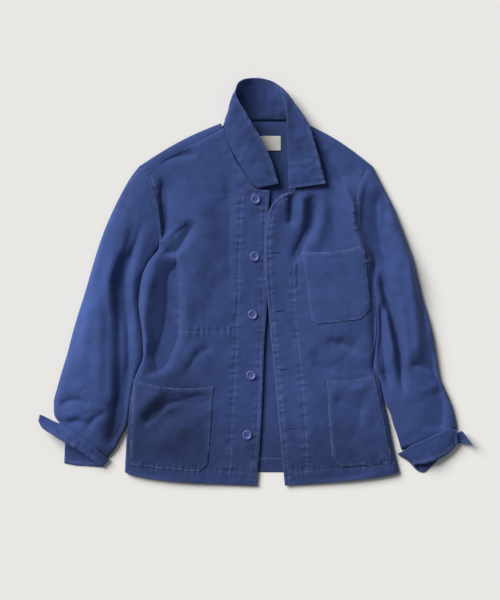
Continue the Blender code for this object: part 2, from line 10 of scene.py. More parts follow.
import bmesh
import bpy
import numpy as np
from mathutils import Matrix, Vector
from mathutils.bvhtree import BVHTree

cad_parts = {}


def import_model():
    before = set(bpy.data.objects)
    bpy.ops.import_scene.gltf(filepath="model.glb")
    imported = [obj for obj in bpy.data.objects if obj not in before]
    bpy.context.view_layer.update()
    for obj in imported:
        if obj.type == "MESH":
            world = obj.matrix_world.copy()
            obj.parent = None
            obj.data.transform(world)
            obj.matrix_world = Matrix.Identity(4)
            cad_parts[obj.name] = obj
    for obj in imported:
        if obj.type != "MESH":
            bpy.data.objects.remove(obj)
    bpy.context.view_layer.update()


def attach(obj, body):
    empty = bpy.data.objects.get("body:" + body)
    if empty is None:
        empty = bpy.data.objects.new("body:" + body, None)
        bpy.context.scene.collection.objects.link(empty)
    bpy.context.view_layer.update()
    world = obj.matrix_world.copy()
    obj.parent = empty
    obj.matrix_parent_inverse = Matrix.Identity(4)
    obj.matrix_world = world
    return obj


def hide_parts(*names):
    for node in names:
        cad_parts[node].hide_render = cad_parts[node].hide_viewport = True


MM = 0.001

# Cloth and seams
CLOTH = 1.6  # wall of one panel
DOUBLE = 2.0  # wall of a collar or cuff, two layers and interlining
PATCH = 1.2  # wall of a patch pocket
SEAM = 0.9  # gap between two pieces that are sewn edge to edge
UNDERARM_GAP = 2.6  # extra gap where the armhole turns tightly under the arm
LAID = 0.35  # gap between a piece and the panel that it lies on
FLOOR = CLOTH / 2  # height of the back's middle surface

# Where the rows of the body panels run: 0 at the hem, 1 at the shoulder seam
UNDERARM = 0.64
SHOULDER_SEAM = 0.965  # its place along the armhole, from the underarm (0) to the shoulder fold (1)
SIDE_ROLL = 16.0  # width over which a front rounds down to its side seam
BACK_CURL = 22.0  # width over which the back curls up to its side seam
LOWEST_FOLD = 6.0  # folds of a front stop this high, clear of the back
LOWEST_CHEST = 8.5
SEAM_HALF = 1.05  # half of the drop from a front's side edge to the back's

BUTTON_HOLE = 1.0  # radius of a thread hole
BUTTON_HOLE_PITCH = 1.9  # from the button's centre to the middle of a hole, along X and along Y
BUTTON_STEPS = 56
# (radius, height) of a button's section, from the middle of its top round the rim to the middle underneath
BUTTON_PROFILE = (
    (0.01, 1.7), (3.0, 1.7), (5.4, 1.75), (6.0, 2.0), (6.5, 2.7), (7.2, 3.2), (8.0, 3.4), (8.8, 3.25),
    (9.5, 2.7), (9.9, 2.0), (10.0, 1.5), (9.7, 0.8), (8.8, 0.2), (7.6, 0.0), (3.0, 0.0), (0.01, 0.0),
)

Side = namedtuple("Side", "row x y seam_z")
Edge = namedtuple("Edge", "row x y z")
Arm = namedtuple("Arm", "under_x under_y fold_x fold_y bow height rim")
Ring = namedtuple("Ring", "outer_x outer_y inner_x inner_y height rim")
Fold = namedtuple("Fold", "x0 y0 x1 y1 left right depth")
Station = namedtuple("Station", "base_x base_y base_z mid_x mid_y mid_z tip_x tip_y tip_z")
Band = namedtuple("Band", "seam_x seam_y seam_z free_x free_y free_z")
Crease = namedtuple("Crease", "line left right depth")
Spot = namedtuple("Spot", "x y wide long depth")


def rows_of(kind, *rows):
    return tuple(kind(*row) for row in rows)


# Side seams, from the hem to just under the arm
SIDE_RIGHT = rows_of(
    Side,
    (0.000, -266, -388, 4.0), (0.104, -262, -315, 4.5), (0.187, -258, -255, 5.5), (0.271, -246, -196, 8.0),
    (0.343, -228, -145, 11.0), (0.389, -229, -112, 12.0), (0.487, -237, -42, 12.0), (0.554, -232, 5, 11.0),
    (0.600, -220, 38, 9.0), (0.640, -197, 67, 7.0),
)
SIDE_LEFT = rows_of(
    Side,
    (0.000, 295, -388, 4.0), (0.073, 283, -339, 4.5), (0.165, 271, -278, 5.0), (0.219, 262, -241, 6.0),
    (0.265, 258, -210, 7.0), (0.293, 250, -192, 7.0), (0.320, 240, -173, 8.0), (0.366, 244, -142, 9.0),
    (0.433, 249, -97, 10.0), (0.564, 244, -9, 9.0), (0.640, 243, 42, 7.0),
)

# Armholes: the underarm point, the shoulder fold, how far the seam bows towards the body, its height
ARM_RIGHT = Arm(-197, 67, -235, 238, 15.0, 20.0, 7.0)
ARM_LEFT = Arm(243, 42, 239, 238, -31.0, 20.0, 7.0)

# Front edges and necklines, from the hem to the neck end of the shoulder seam
EDGE_RIGHT = rows_of(
    Edge,
    (0.000, 4, -416, 5.0), (0.187, 13, -275, 7.5), (0.389, 19, -123, 8.0), (0.487, 24, -49, 8.0),
    (0.640, 26, 67, 8.0), (0.760, 28, 151, 8.0), (0.8335, 30, 188, 8.0), (0.845, 3, 191, 9.5),
    (0.875, -11, 207, 11.0), (0.907, -26, 229, 12.0), (0.940, -42, 254, 12.5), (1.000, -64, 315, 13.0),
)
EDGE_LEFT = rows_of(
    Edge,
    (0.000, 61, -416, 6.0), (0.128, 52, -320, 9.0), (0.293, 41, -195, 9.5), (0.433, 31, -90, 10.0),
    (0.564, 22, 9, 11.0), (0.640, 20, 67, 11.0), (0.698, 23, 110, 12.0), (0.760, 28, 144, 16.0),
    (0.795, 39, 164, 20.0), (0.8335, 55, 179, 21.0), (0.845, 82, 188, 17.0), (0.875, 84, 210, 13.0),
    (0.907, 86, 237, 12.5), (1.000, 96, 315, 13.0),
)
CROWN_ROWS = (0.0, 0.1, 0.3, 0.5, 0.7, 0.9, 1.0)  # rows of the height of a front's middle
CROWN_HEIGHTS = (9.0, 12.0, 17.0, 19.0, 19.0, 17.0, 12.4)
HEM_BOW_RIGHT = 9.0  # the middle of a front's hem hangs this far below its ends
HEM_BOW_LEFT = 6.0

# Neck and shoulder folds of the back
NECK_RIGHT = (-64, 315)
NECK_LEFT = (96, 315)
NECKLINE_Y = 336
FOLD_AT_NECK_RIGHT = (-70, 325)
FOLD_AT_NECK_LEFT = (103, 325)
FOLD_BOW = 7.0
SEAM_Z_AT_NECK = 13.0

# Grid lines
BODY_ROWS = tuple(UNDERARM * k / 190 for k in range(190))
ARM_ROWS = tuple(SHOULDER_SEAM * k / 104 for k in range(105))
FRONT_COLUMNS = tuple(k / 132 - 0.006 * math.sin(math.tau * k / 132) for k in range(133))
BACK_COLUMNS_SIDE = tuple((k / 40) ** 1.3 for k in range(41))
NECK_COLUMNS = 40
RING_TOP = tuple((1 - math.cos(math.pi * k / 64)) / 2 for k in range(65))
RING_BOTTOM = RING_TOP[-2:0:-1]

SHOULDER_STEPS = tuple((q, False) for q in (0.6, 0.4, 0.2, 0.08)) + tuple(
    (q, True) for q in (0.0, 0.05, 0.12, 0.22, 0.34, 0.48, 0.64, 0.82, 1.0)
)

# Largest folds of the fronts: a line, its reach to the left and right of it, and its depth (down is minus)
FOLDS_RIGHT = rows_of(
    Fold,
    (-190, 196, -192, 84, 8, 16, -8), (-176, 98, -128, 128, 14, 14, -6), (-162, 50, -160, -60, 26, 7, -8),
    (-160, -60, -200, -176, 28, 8, -9), (-90, -232, -215, -292, 16, 20, -6),
    (-60, 190, -90, 120, 30, 40, -3),
)
FOLDS_LEFT = rows_of(
    Fold,
    (180, 200, 238, 50, 26, 12, 7), (114, 176, 112, 124, 12, 14, -6), (112, 124, 82, 46, 13, 12, -6),
    (74, 178, 78, 116, 11, 12, -5), (150, -118, 214, -132, 16, 20, -4), (120, -140, 160, -180, 20, 20, -3),
)

# Sleeves, from the armhole to the cuff
SLEEVE_RIGHT = rows_of(
    Ring,
    (-254, 214, -211.5, 54, 22, 7), (-275, 177, -224.2, 36, 23, 7), (-293, 140, -232.8, 15, 24, 7.5),
    (-310, 99, -236.8, -5, 24, 8), (-324, 58, -239.4, -26, 25, 8), (-336, 17, -240.1, -46, 25, 8),
    (-348, -24, -236.0, -81, 25, 8), (-361, -65, -231.9, -118, 25, 8), (-373, -106, -232.1, -153, 25, 8),
    (-383, -145, -245.7, -186, 25, 8), (-394, -181, -256.0, -224, 24, 8),
    (-404, -216, -261.4, -257, 24, 7.5), (-411, -245, -263.6, -286, 23, 7),
    (-411, -263, -276.0, -313, 20, 6.5), (-409, -274, -288.0, -337, 17, 6),
    (-406, -279, -300.0, -353, 14, 5),
)
SLEEVE_LEFT = rows_of(
    Ring,
    (252, 214, 246.6, 21, 22, 7), (269, 181, 246.9, 1, 23, 7), (284, 151, 247.6, -19, 24, 7.5),
    (298, 116, 249.2, -42, 24, 8), (312, 79, 251.0, -67, 25, 8), (324, 44, 252.2, -93, 25, 8),
    (334, 3, 250.3, -120, 25, 8), (344, -38, 247.0, -147, 25, 8), (356, -79, 244.6, -177, 25, 8),
    (365, -118, 258.3, -202, 25, 8), (371, -155, 263.0, -222, 24, 8), (377, -192, 269.5, -245, 23, 7.5),
    (386, -214, 280.5, -268, 23, 7), (398, -241, 286.5, -290, 22, 6.5), (407, -269, 294.5, -313, 20, 6),
    (412, -293, 301.0, -335, 17, 5),
)
SLEEVE_FOLDS_RIGHT = rows_of(
    Fold,
    (-283, -20, -282, -320, 18, 16, -12), (-262, 60, -283, -20, 14, 16, -6),
)
SLEEVE_FOLDS_LEFT = rows_of(
    Fold,
    (256, 20, 292, -120, 10, 16, -9), (320, 60, 336, -180, 40, 10, 3),
)
UNDER_LAYER_REACH = 20.0  # how far the lower layer of the right sleeve's end reaches past the upper one

# Collar stations, from the wearer's right front end round the neck to the left one
COLLAR = rows_of(
    Station,
    (3, 193, 12.5, 25, 197, 16, 48, 202, 18), (-10, 206, 15, 14, 214, 20, 41, 227, 22),
    (-23, 228, 17, 2, 243, 24, 28, 261, 27), (-35, 247, 17, -12, 272, 27, 9, 298, 32),
    (-49, 274, 18, -29, 298, 30, -6, 323, 38), (-57, 298, 18, -40, 323, 33, -19, 345, 43),
    (-62, 318, 17.5, -51, 347, 36, -34, 369, 48), (-59, 332, 14, -52, 360, 34, -40, 384, 50),
    (-49, 334, 8, -46, 370, 30, -37, 400, 48), (-25, 333, 4.6, -28, 378, 22, -22, 412, 40),
    (6, 333, 4.2, 6, 378, 14, 4, 416, 28), (35, 333, 4.2, 37, 376, 17, 31, 411, 26),
    (59, 333, 5, 55, 368, 24, 51, 399, 25), (76, 332, 9, 65, 352, 31, 70, 380, 22),
    (88, 327, 14, 65, 329, 33, 92, 350, 21), (92, 314, 16, 66, 304, 34, 111, 319, 22),
    (86, 287, 16.5, 68, 280, 33, 121, 286, 24), (83, 255, 16.5, 71, 251, 31, 130, 255, 25),
    (81, 220, 17, 74, 218, 28, 138, 224, 24), (79, 191, 21, 77, 192, 25, 144, 201, 23),
)
COLLAR_STEPS = 260
COLLAR_ROWS = 36

CUFF_RIGHT = rows_of(
    Band,
    (-440, -270, 15, -442, -283, 20), (-430, -274, 14, -434, -296, 27), (-411, -284, 14, -416, -308, 31),
    (-389, -292, 14.5, -397, -320, 32), (-368, -305, 16.8, -376, -332, 30),
    (-348, -319, 17.2, -357, -343, 25), (-328, -333, 16.5, -340, -356, 20), (-314, -349, 14, -326, -367, 14),
    (-299, -360, 8, -313, -377, 6), (-310, -360, 1.8, -321, -378, 1.4), (-334, -352, 1.0, -340, -376, 1.0),
    (-359, -342, 1.0, -363, -375, 1.0), (-389, -317, 1.0, -391, -370, 1.0),
)
CUFF_LEFT = rows_of(
    Band,
    (411, -300, 20, 414, -328, 14), (394, -298, 22, 405, -340, 12), (377, -306, 21, 395, -350, 12),
    (359, -315, 20, 379, -359, 14), (338, -324, 19.4, 361, -366, 16), (318.5, -333, 17, 340, -371, 15),
    (303, -345, 10, 325, -372, 11), (293, -350, 5, 330, -381, 5.5), (299, -352, 1.4, 344, -389, 1.3),
    (320, -347, 1.0, 361, -377, 1.0), (346, -337, 1.0, 380, -359, 1.0), (379, -323, 1.0, 404, -339, 2.0),
    (406, -312, 4.0, 420, -329, 6.0), (421, -304, 14.0, 435, -330, 12.0), (428, -311, 24.0, 444, -333, 18.0),
)
CUFF_STEPS = 170
CUFF_ROWS = 14

# Patch pockets: corners round a convex outline, the two ends of the opening first
CHEST_POCKET = ((96, 63), (223, 77), (236, -54), (215, -75), (126, -85), (114, -73), (111, -50), (99, 19))
HIP_POCKET_RIGHT = ((-248, -198), (-85, -212), (-97, -371), (-114, -387), (-226, -377), (-257, -373))
HIP_POCKET_LEFT = ((147, -199), (243, -189), (279, -360), (278, -369), (176, -378), (158, -360), (152, -286))

LABEL_CORNER = (-15, 270)
LABEL_SIZE = (68, 30)
BUTTONS = ((1, 170), (-1, 53), (-5, -66), (-8, -190), (-16, -312))
BUTTONHOLES = ((43, 60), (51, -59), (61, -179), (77, -300))


def column(table, name):
    return np.array([getattr(row, name) for row in table], float)


def through(knots, values, at):
    """The values at some places on a smooth curve through the knots that doesn't overshoot them."""
    knots, values, at = (np.asarray(v, float) for v in (knots, values, at))
    step = np.diff(knots)
    slope = np.diff(values) / step
    product = slope[1:] * slope[:-1]
    total = slope[1:] + slope[:-1]
    inner = np.where(product > 0, 2 * product / np.where(product > 0, total, 1), 0)
    tangent = np.concatenate([slope[:1], inner, slope[-1:]])
    k = np.clip(np.searchsorted(knots, at, "right") - 1, 0, len(step) - 1)
    t = (at - knots[k]) / step[k]
    rise = values[k + 1] - values[k]
    start, end = tangent[k] * step[k], tangent[k + 1] * step[k]
    return values[k] + t * start + t**2 * (3 * rise - 2 * start - end) + t**3 * (start + end - 2 * rise)


def smooth(t):
    t = np.clip(t, 0, 1)
    return t * t * (3 - 2 * t)


def bell(distance, reach):
    """1 at a distance of 0, fading to almost nothing at twice the reach."""
    return np.exp(-((distance / reach) ** 2))


def quarter(t):
    """A quarter of a circle: up steeply from 0, level at 1."""
    return np.sqrt(1 - (1 - np.clip(t, 0, 1)) ** 2)


def fold_height(folds, x, y):
    """The sum of the folds at a place: each is a soft trough or ridge that fades at its ends."""
    total = np.zeros(np.broadcast(x, y).shape)
    for f in folds:
        along = np.array([f.x1 - f.x0, f.y1 - f.y0], float)
        length = np.hypot(*along)
        along /= length
        t = ((x - f.x0) * along[0] + (y - f.y0) * along[1]) / length
        across = (x - f.x0) * along[1] - (y - f.y0) * along[0]
        reach = np.where(across * np.sign(along[1] + 1e-9) < 0, f.left, f.right)
        ends = smooth((t + 0.15) / 0.35) * smooth((1.15 - t) / 0.35)
        total += f.depth * ends * bell(across, reach)
    return total


# Body panels


def ring_top(s, height, rim):
    return rim + (height - rim) * np.sqrt(1 - np.abs(2 * s - 1) ** 2.6)


def ring_bottom(s, rim):
    return FLOOR + (rim - FLOOR) * np.abs(2 * s - 1) ** 6


def armhole(arm, s):
    """Plan position along an armhole, from the underarm to the shoulder fold."""
    x = arm.under_x + (arm.fold_x - arm.under_x) * s
    y = arm.under_y + (arm.fold_y - arm.under_y) * s
    return x + arm.bow * np.sin(np.pi * np.clip(s, 0, 1)) ** 0.8, y


def body_rows():
    """(row, place along the armhole or None) of each grid row."""
    rows = [(row, None) for row in BODY_ROWS]
    scale = (1 - UNDERARM) / SHOULDER_SEAM
    return rows + [(UNDERARM + s * scale, s) for s in ARM_ROWS]


def side_point(side, arm, row, s, above):
    """Where a panel ends at the side seam or the armhole; above is +1 for a front and -1 for the back."""
    if s is None or s == 0:
        rows = column(side, "row")
        x, y, z = (through(rows, column(side, name), row) for name in ("x", "y", "seam_z"))
        return x, y, z + above * SEAM_HALF
    x, y = armhole(arm, s)
    return x, y, ring_top(s, arm.height, arm.rim) if above > 0 else ring_bottom(s, arm.rim)


def front_grid(side, arm, edge, folds, hem_bow):
    """Rows of points of a front's middle surface."""
    u = np.array(FRONT_COLUMNS)
    rows = column(edge, "row")
    grid = []
    for row, s in body_rows():
        side_x, side_y, side_z = side_point(side, arm, row, s, 1)
        edge_x, edge_y, edge_z = (through(rows, column(edge, name), row) for name in ("x", "y", "z"))
        x = side_x + (edge_x - side_x) * u
        y = side_y + (edge_y - side_y) * u
        y = y - hem_bow * np.sin(np.pi * u**0.6) * smooth(1 - row / 0.25)
        crown = through(CROWN_ROWS, CROWN_HEIGHTS, row)
        top = crown + (edge_z - crown) * smooth((u - 0.35) / 0.65)
        from_side = np.hypot(x - side_x, y - side_y)
        z = side_z + (top - side_z) * quarter(from_side / SIDE_ROLL)
        from_edge = np.hypot(x - edge_x, y - edge_y)
        inside = smooth(from_side / 12) * smooth(from_edge / 14) * smooth((1 - row) / 0.05)
        z = z + fold_height(folds, x, y) * inside
        lowest = LOWEST_FOLD if row < UNDERARM else LOWEST_CHEST
        z = np.maximum(z, lowest) * inside + z * (1 - inside)
        grid.append(np.stack([x, y, z], -1))
    return np.array(grid)


def back_columns():
    """The places across the back, with the neck's ends among them."""
    right_x, left_x = armhole(ARM_RIGHT, SHOULDER_SEAM)[0], armhole(ARM_LEFT, SHOULDER_SEAM)[0]
    neck = [(corner[0] - right_x) / (left_x - right_x) for corner in (NECK_RIGHT, NECK_LEFT)]
    side = np.array(BACK_COLUMNS_SIDE)
    middle = np.linspace(neck[0], neck[1], NECK_COLUMNS + 1)
    return np.concatenate([side * neck[0], middle[1:-1], (1 - side * (1 - neck[1]))[::-1]]), neck


def back_grid():
    """Rows of the back's middle surface, from the hem to below the shoulder seams."""
    u, neck = back_columns()
    right_end, left_end = armhole(ARM_RIGHT, SHOULDER_SEAM), armhole(ARM_LEFT, SHOULDER_SEAM)
    top_y = np.interp(u, [0, neck[0], neck[1], 1], [right_end[1], NECK_RIGHT[1], NECK_LEFT[1], left_end[1]])
    rise = top_y - (right_end[1] + (left_end[1] - right_end[1]) * u)
    grid = []
    for row, s in body_rows():
        right = side_point(SIDE_RIGHT, ARM_RIGHT, row, s, -1)
        left = side_point(SIDE_LEFT, ARM_LEFT, row, s, -1)
        x = right[0] + (left[0] - right[0]) * u
        y = right[1] + (left[1] - right[1]) * u + rise * smooth((row - 0.5) / 0.5)
        z = FLOOR + np.zeros_like(x)
        for end in (right, left):
            near = np.clip(1 - np.abs(x - end[0]) / BACK_CURL, 0, 1) ** 2
            z = z + (end[2] - FLOOR) * near
        grid.append(np.stack([x, y, z], -1))
    return np.array(grid)


def shoulder_rows(arm, neck, fold_at_neck, share):
    """The rows that carry the back over a shoulder fold to the seam; share is 0 at the armhole."""
    seam_start = np.array(armhole(arm, SHOULDER_SEAM))
    fold_start = np.array(armhole(arm, 1.0))
    seam = seam_start + (np.array(neck) - seam_start) * share[:, None]
    fold = fold_start + (np.array(fold_at_neck) - fold_start) * share[:, None]
    fold[:, 1] += FOLD_BOW * np.sin(np.pi * share)
    reach = np.linalg.norm(seam - fold, axis=1, keepdims=True)
    seam_at_arm = ring_top(SHOULDER_SEAM, arm.height, arm.rim)
    seam_z = seam_at_arm + (SEAM_Z_AT_NECK - seam_at_arm) * share
    rows = []
    for q, top in SHOULDER_STEPS:
        place = fold + (seam - fold) * q * (1 - SEAM / reach if q == 1 else 1)
        s = 1 - q * (1 - SHOULDER_SEAM)
        at_arm = ring_top(s, arm.height, arm.rim) if top else ring_bottom(s, arm.rim)
        if top:
            inside = arm.rim + (seam_z - arm.rim) * quarter(q)
        else:
            inside = FLOOR + (arm.rim - FLOOR) * (1 - q) ** 2
        near = np.clip(1 - share * 4, 0, 1) ** 2
        rows.append(np.column_stack([place, inside + (at_arm - inside) * near]))
    return np.array(rows)


# Sleeves, collar and cuffs


def sleeve_grid(arm, rings, folds, under_reach):
    """Closed rings of a sleeve's middle surface, from the armhole to the cuff."""
    s = np.array(RING_TOP + RING_BOTTOM)
    on_top = np.arange(len(s)) < len(RING_TOP)
    outward = -np.sign(arm.bow)
    x, y = armhole(arm, s)
    gap = SEAM + UNDERARM_GAP * smooth(1 - s / 0.25)
    z = np.where(on_top, ring_top(s, arm.height, arm.rim), ring_bottom(s, arm.rim))
    first = np.stack([x + outward * gap, y, z], -1)
    grid = [first]
    for k, ring in enumerate(rings):
        x = ring.inner_x + (ring.outer_x - ring.inner_x) * s
        y = ring.inner_y + (ring.outer_y - ring.inner_y) * s
        above_arm = smooth((y - arm.under_y - 2) / 40)
        x = x + arm.bow * np.sin(np.pi * s) ** 0.8 * max(0.0, 1 - (k + 1) / 4) * above_arm
        z = np.where(on_top, ring_top(s, ring.height, ring.rim), ring_bottom(s, ring.rim))
        inside = smooth(np.minimum(s, 1 - s) / 0.16)
        folded = np.maximum(z + fold_height(folds, x, y) * inside, FLOOR + 5.5)
        z = np.where(on_top & (inside > 0), folded, z)
        last = k / (len(rings) - 1)
        y = y - np.where(on_top, 0, under_reach * np.sin(np.pi * s) * smooth((last - 0.8) / 0.2))
        grid.append(np.stack([x, y, z], -1))
    return np.array(grid)


def strip_grid(table, steps, rows, names):
    """A strip through a table of stations, each with two or three named points across."""
    place = np.linspace(0, len(table) - 1, steps + 1)
    knots = np.arange(len(table))
    across = [
        np.column_stack([through(knots, column(table, name + axis), place) for axis in ("_x", "_y", "_z")])
        for name in names
    ]
    t = np.linspace(0, 1, rows + 1)[:, None, None]
    if len(across) == 2:
        return across[0] * (1 - t) + across[1] * t
    low, middle, high = across
    control = 2 * middle - (low + high) / 2
    return low * (1 - t) ** 2 + control * 2 * t * (1 - t) + high * t**2


# Smaller folds, puckers and stitches

FINE_RIGHT = rows_of(
    Fold,
    (-195, 251, -119, 270, 7, 9, -1.6), (-199, 56, -222, -40, 8, 10, 3.0),
    (-222, -40, -240, -128, 8, 10, 2.5), (-160, 95, -127, 124, 5, 8, 2.4),
    (-70, 250, -40, 170, 12, 14, -1.6), (-120, 10, -100, -70, 16, 20, -1.4),
    (-60, -230, -70, -330, 10, 14, 1.2), (-110, 200, -60, 190, 14, 14, 1.0),
    (-30, -20, -44, -95, 5, 9, -1.2), (-140, -150, -90, -190, 12, 14, 1.5),
    (-191, 190, -192, 90, 4, 11, -5.0), (-192, 74, -132, 120, 5, 16, -5.0),
    (-190, 90, -135, 128, 12, 5, 2.5), (-50, 230, -58, 150, 16, 12, -2.2),
    (-150, 205, -140, 100, 30, 26, 2.6), (-80, 90, -90, -60, 26, 22, -2.0),
    (-120, 60, -130, -70, 18, 18, 1.8), (-110, -255, -190, -330, 22, 22, 2.2),
)
FINE_LEFT = rows_of(
    Fold,
    (150, 272, 168, 231, 6, 8, -1.6), (168, 231, 184, 190, 6, 8, -1.4), (205, -128, 174, -169, 8, 10, -1.8),
    (174, -169, 129, -169, 8, 9, -1.4), (94, 176, 96, 120, 8, 9, 2.2), (96, 120, 84, 70, 6, 8, 1.6),
    (240, 40, 236, -60, 5, 7, -2.0), (236, -60, 232, -160, 6, 8, -1.6), (60, -20, 66, -110, 7, 9, -1.0),
    (110, -220, 118, -320, 9, 10, 1.2), (70, -240, 84, -330, 8, 9, -1.1), (215, 235, 222, 150, 6, 8, 2.0),
    (184, 200, 236, 62, 18, 4, 4.5), (113, 178, 114, 128, 5, 6, -4.0), (114, 128, 90, 60, 5, 7, -4.5),
    (74, 180, 76, 122, 6, 6, -3.4), (140, 185, 150, 100, 16, 14, 2.4), (60, 150, 50, 60, 10, 12, -1.6),
    (238, 30, 240, -110, 8, 5, -4.5), (150, -120, 205, -130, 7, 10, -3.0),
    (120, -150, 160, -182, 9, 10, -2.4), (200, -215, 240, -330, 18, 14, 2.0),
)
FINE_SLEEVE_RIGHT = rows_of(
    Fold,
    (-246, 118, -269, 58, 5, 7, -2.4), (-269, 58, -293, -3, 5, 8, -1.8),
    (-400, -250, -350, -238, 9, 8, -3.0), (-385, -292, -334, -262, 6, 7, -2.4),
    (-372, -215, -330, -200, 10, 9, 1.8), (-300, -250, -270, -262, 7, 8, -2.0),
    (-330, 20, -318, -120, 14, 12, 1.8), (-360, -90, -372, -190, 10, 12, 1.6),
    (-300, 90, -318, 10, 8, 9, -1.6), (-262, 190, -278, 120, 8, 8, -1.6),
    (-305, -310, -285, -330, 6, 6, -1.8), (-282, 0, -283, -160, 10, 8, -5.0),
    (-283, -160, -278, -330, 9, 8, -5.0), (-320, 60, -350, -120, 16, 18, 3.2),
    (-250, 150, -262, 70, 8, 10, -3.0), (-400, -286, -336, -284, 6, 7, -3.2),
    (-350, -240, -300, -290, 9, 9, 2.4),
)
FINE_SLEEVE_LEFT = rows_of(
    Fold,
    (314, 50, 324, -36, 7, 10, 2.4), (324, -36, 334, -179, 8, 12, 2.6), (271, -46, 289, -128, 7, 8, -2.2),
    (289, -128, 300, -220, 7, 9, -1.6), (262, 190, 270, 110, 8, 8, -1.8), (345, -40, 352, -130, 8, 10, -1.4),
    (254, 20, 272, -60, 7, 9, -5.0), (272, -60, 296, -150, 7, 9, -4.6), (296, -150, 306, -230, 8, 10, -3.4),
    (262, -60, 268, -170, 8, 6, 3.0), (300, 100, 330, -20, 14, 12, 2.6),
)

# Creases, sharp where they go down and round where they rise. Each line runs up or to the right, and left and
# right are its reach to each side of it, so that left is also above.
CREASES_RIGHT = rows_of(
    Crease,
    (((-195, 74), (-187, 108), (-182, 157), (-188, 200), (-197, 224)), 8, 16, -9),
    (((-196, 59), (-164, 62), (-141, 92), (-122, 128)), 15, 5, -9),
    (((-196, 74), (-160, 104), (-128, 138)), 10, 12, 4),
    (((-236, -190), (-190, -176), (-168, -134), (-160, -106), (-157, -56), (-159, 0), (-163, 56)),
     32, 5, -20),
    (((-232, -160), (-232, -97), (-226, -36), (-214, 40)), 12, 20, 11),
    (((-140, -120), (-142, -40), (-146, 40)), 12, 16, 4),
    (((-199, 246), (-160, 258), (-112, 262)), 10, 7, -5),
    (((-118, -90), (-112, 30), (-108, 120), (-96, 205)), 30, 26, 5),
    (((-52, -40), (-54, 60), (-50, 150), (-62, 225)), 16, 12, -3.5),
    (((-238, -300), (-200, -267), (-174, -247), (-134, -242), (-80, -242)), 17, 6, -11),
    (((-246, -276), (-212, -240), (-184, -216)), 14, 12, 5),
    (((-225, -340), (-150, -310), (-100, -290)), 16, 18, 2.5),
    (((-140, -188), (-120, -150), (-84, -128)), 12, 8, -4),
    (((-176, -190), (-140, -160), (-118, -120)), 12, 12, 3),
)
CREASES_LEFT = rows_of(
    Crease,
    (((168, 60), (160, 120), (150, 190)), 14, 14, -2.5), (((116, 296), (138, 240), (152, 192)), 14, 11, -6),
    (((70, 112), (73, 150), (76, 188)), 6, 9, -6),
    (((82, 34), (90, 62), (101, 88), (117, 112), (123, 150), (117, 184)), 9, 7, -9),
    (((110, 60), (132, 110), (140, 170)), 9, 12, 4), (((92, 110), (97, 150), (98, 184)), 8, 8, 3),
    (((87, -18), (88, 44)), 4, 7, -3), (((160, -118), (200, -138), (236, -150)), 12, 7, -4),
    (((112, -160), (150, -180), (190, -184)), 10, 7, -3), (((128, 272), (158, 236), (186, 196)), 9, 7, -4),
    (((241, -150), (245, -60), (240, 30)), 4, 4, -5),
    (((190, -340), (214, -280), (222, -220)), 14, 10, -3.5),
    (((156, -238), (196, -252), (228, -270)), 14, 7, -3.4),
    (((150, -214), (200, -216), (236, -204)), 5, 12, 2.5),
)
CREASES_SLEEVE_RIGHT = rows_of(
    Crease,
    (((-268, -330), (-262, -239), (-258, -150), (-260, -89), (-270, -1), (-246, 75), (-222, 141)),
     14, 8, -17),
    (((-300, -348), (-282, -300), (-262, -236)), 26, 8, -8),
    (((-290, -300), (-288, -200), (-288, -90), (-297, 0), (-272, 80)), 12, 8, 8),
    (((-322, -250), (-318, -120), (-312, 0)), 12, 10, 3),
    (((-246, -130), (-244, -90), (-248, -10), (-238, 40)), 7, 7, 3),
    (((-400, -250), (-369, -240), (-334, -254)), 9, 6, -5),
    (((-346, -302), (-330, -280), (-300, -262)), 7, 6, -4.5),
    (((-396, -276), (-360, -270), (-330, -286)), 8, 6, 3),
    (((-352, -200), (-344, -100), (-330, -20)), 12, 16, 3),
    (((-372, -150), (-352, -60), (-338, 20)), 10, 8, -3.5),
)
CREASES_SLEEVE_LEFT = rows_of(
    Crease,
    (((334, -185), (326, -60), (314, 52), (296, 120)), 14, 12, 5),
    (((312, -166), (336, -170), (360, -180), (382, -200), (400, -228)), 24, 4, -10),
    (((378, -310), (383, -256), (368, -208)), 40, 9, -8),
    (((278, -225), (266, -170), (261, -100), (257, -30)), 12, 8, -14),
    (((302, -235), (298, -150), (280, -60), (256, 30)), 11, 5, -15),
    (((272, 4), (256, 80), (248, 140), (252, 200)), 26, 14, -12),
    (((300, 20), (288, 90), (278, 150)), 12, 14, 4), (((312, -200), (306, -110), (296, -20)), 7, 10, 4),
    (((284, -170), (276, -100), (268, -40)), 6, 8, 5), (((352, -120), (340, -40), (326, 50)), 8, 10, -4),
    (((262, 90), (266, 150), (262, 200)), 8, 10, -4),
)

# A ridge that runs along the left armhole and lifts both pieces alike
ARMHOLE_RIDGE = (Crease(((250, 20), (222, 72), (206, 120), (205, 165), (222, 225)), 24, 10, 8),)

# Stitch lines on the fronts, as seen from above
SEAMS_RIGHT = (
    ((-27, 194), (-31, 122), (-34, 19), (-38, -104), (-44, -220), (-50, -323), (-52, -386)),
    ((-161, 56), (-161, -36), (-160, -81)),
    ((-157, -99), (-102, -100), (-38, -99)),
)
SEAMS_LEFT = (((78, 46), (80, -63), (92, -173), (102, -282), (105, -378)),)
BACK_HEM_STITCH = -361.0
HEM_INSET = 27.0
EDGE_INSETS = (2.6, 8.0)
STITCH = 2.5
STITCH_GAP = 0.9
STITCH_WIDTH = 0.5
BUTTON_STITCH_WIDTH = 0.7
GRAIN_SIZE = 5
PUCKER_PITCH = 9.0
PUCKER_DEPTH = 1.9
SEAM_SINK = 0.9
WEAR_REACH = 1.2
ARM_SEAM_INSET = 6.0
SLOT_LENGTH = 17.0
SLOT_WIDTH = 1.8
SLOT_LEAN = 0.06
SLOT_STITCHES = 18
ALLOWANCE_REACH = 3.2  # the sleeve's and the shoulder strip's edge goes on under the front this far
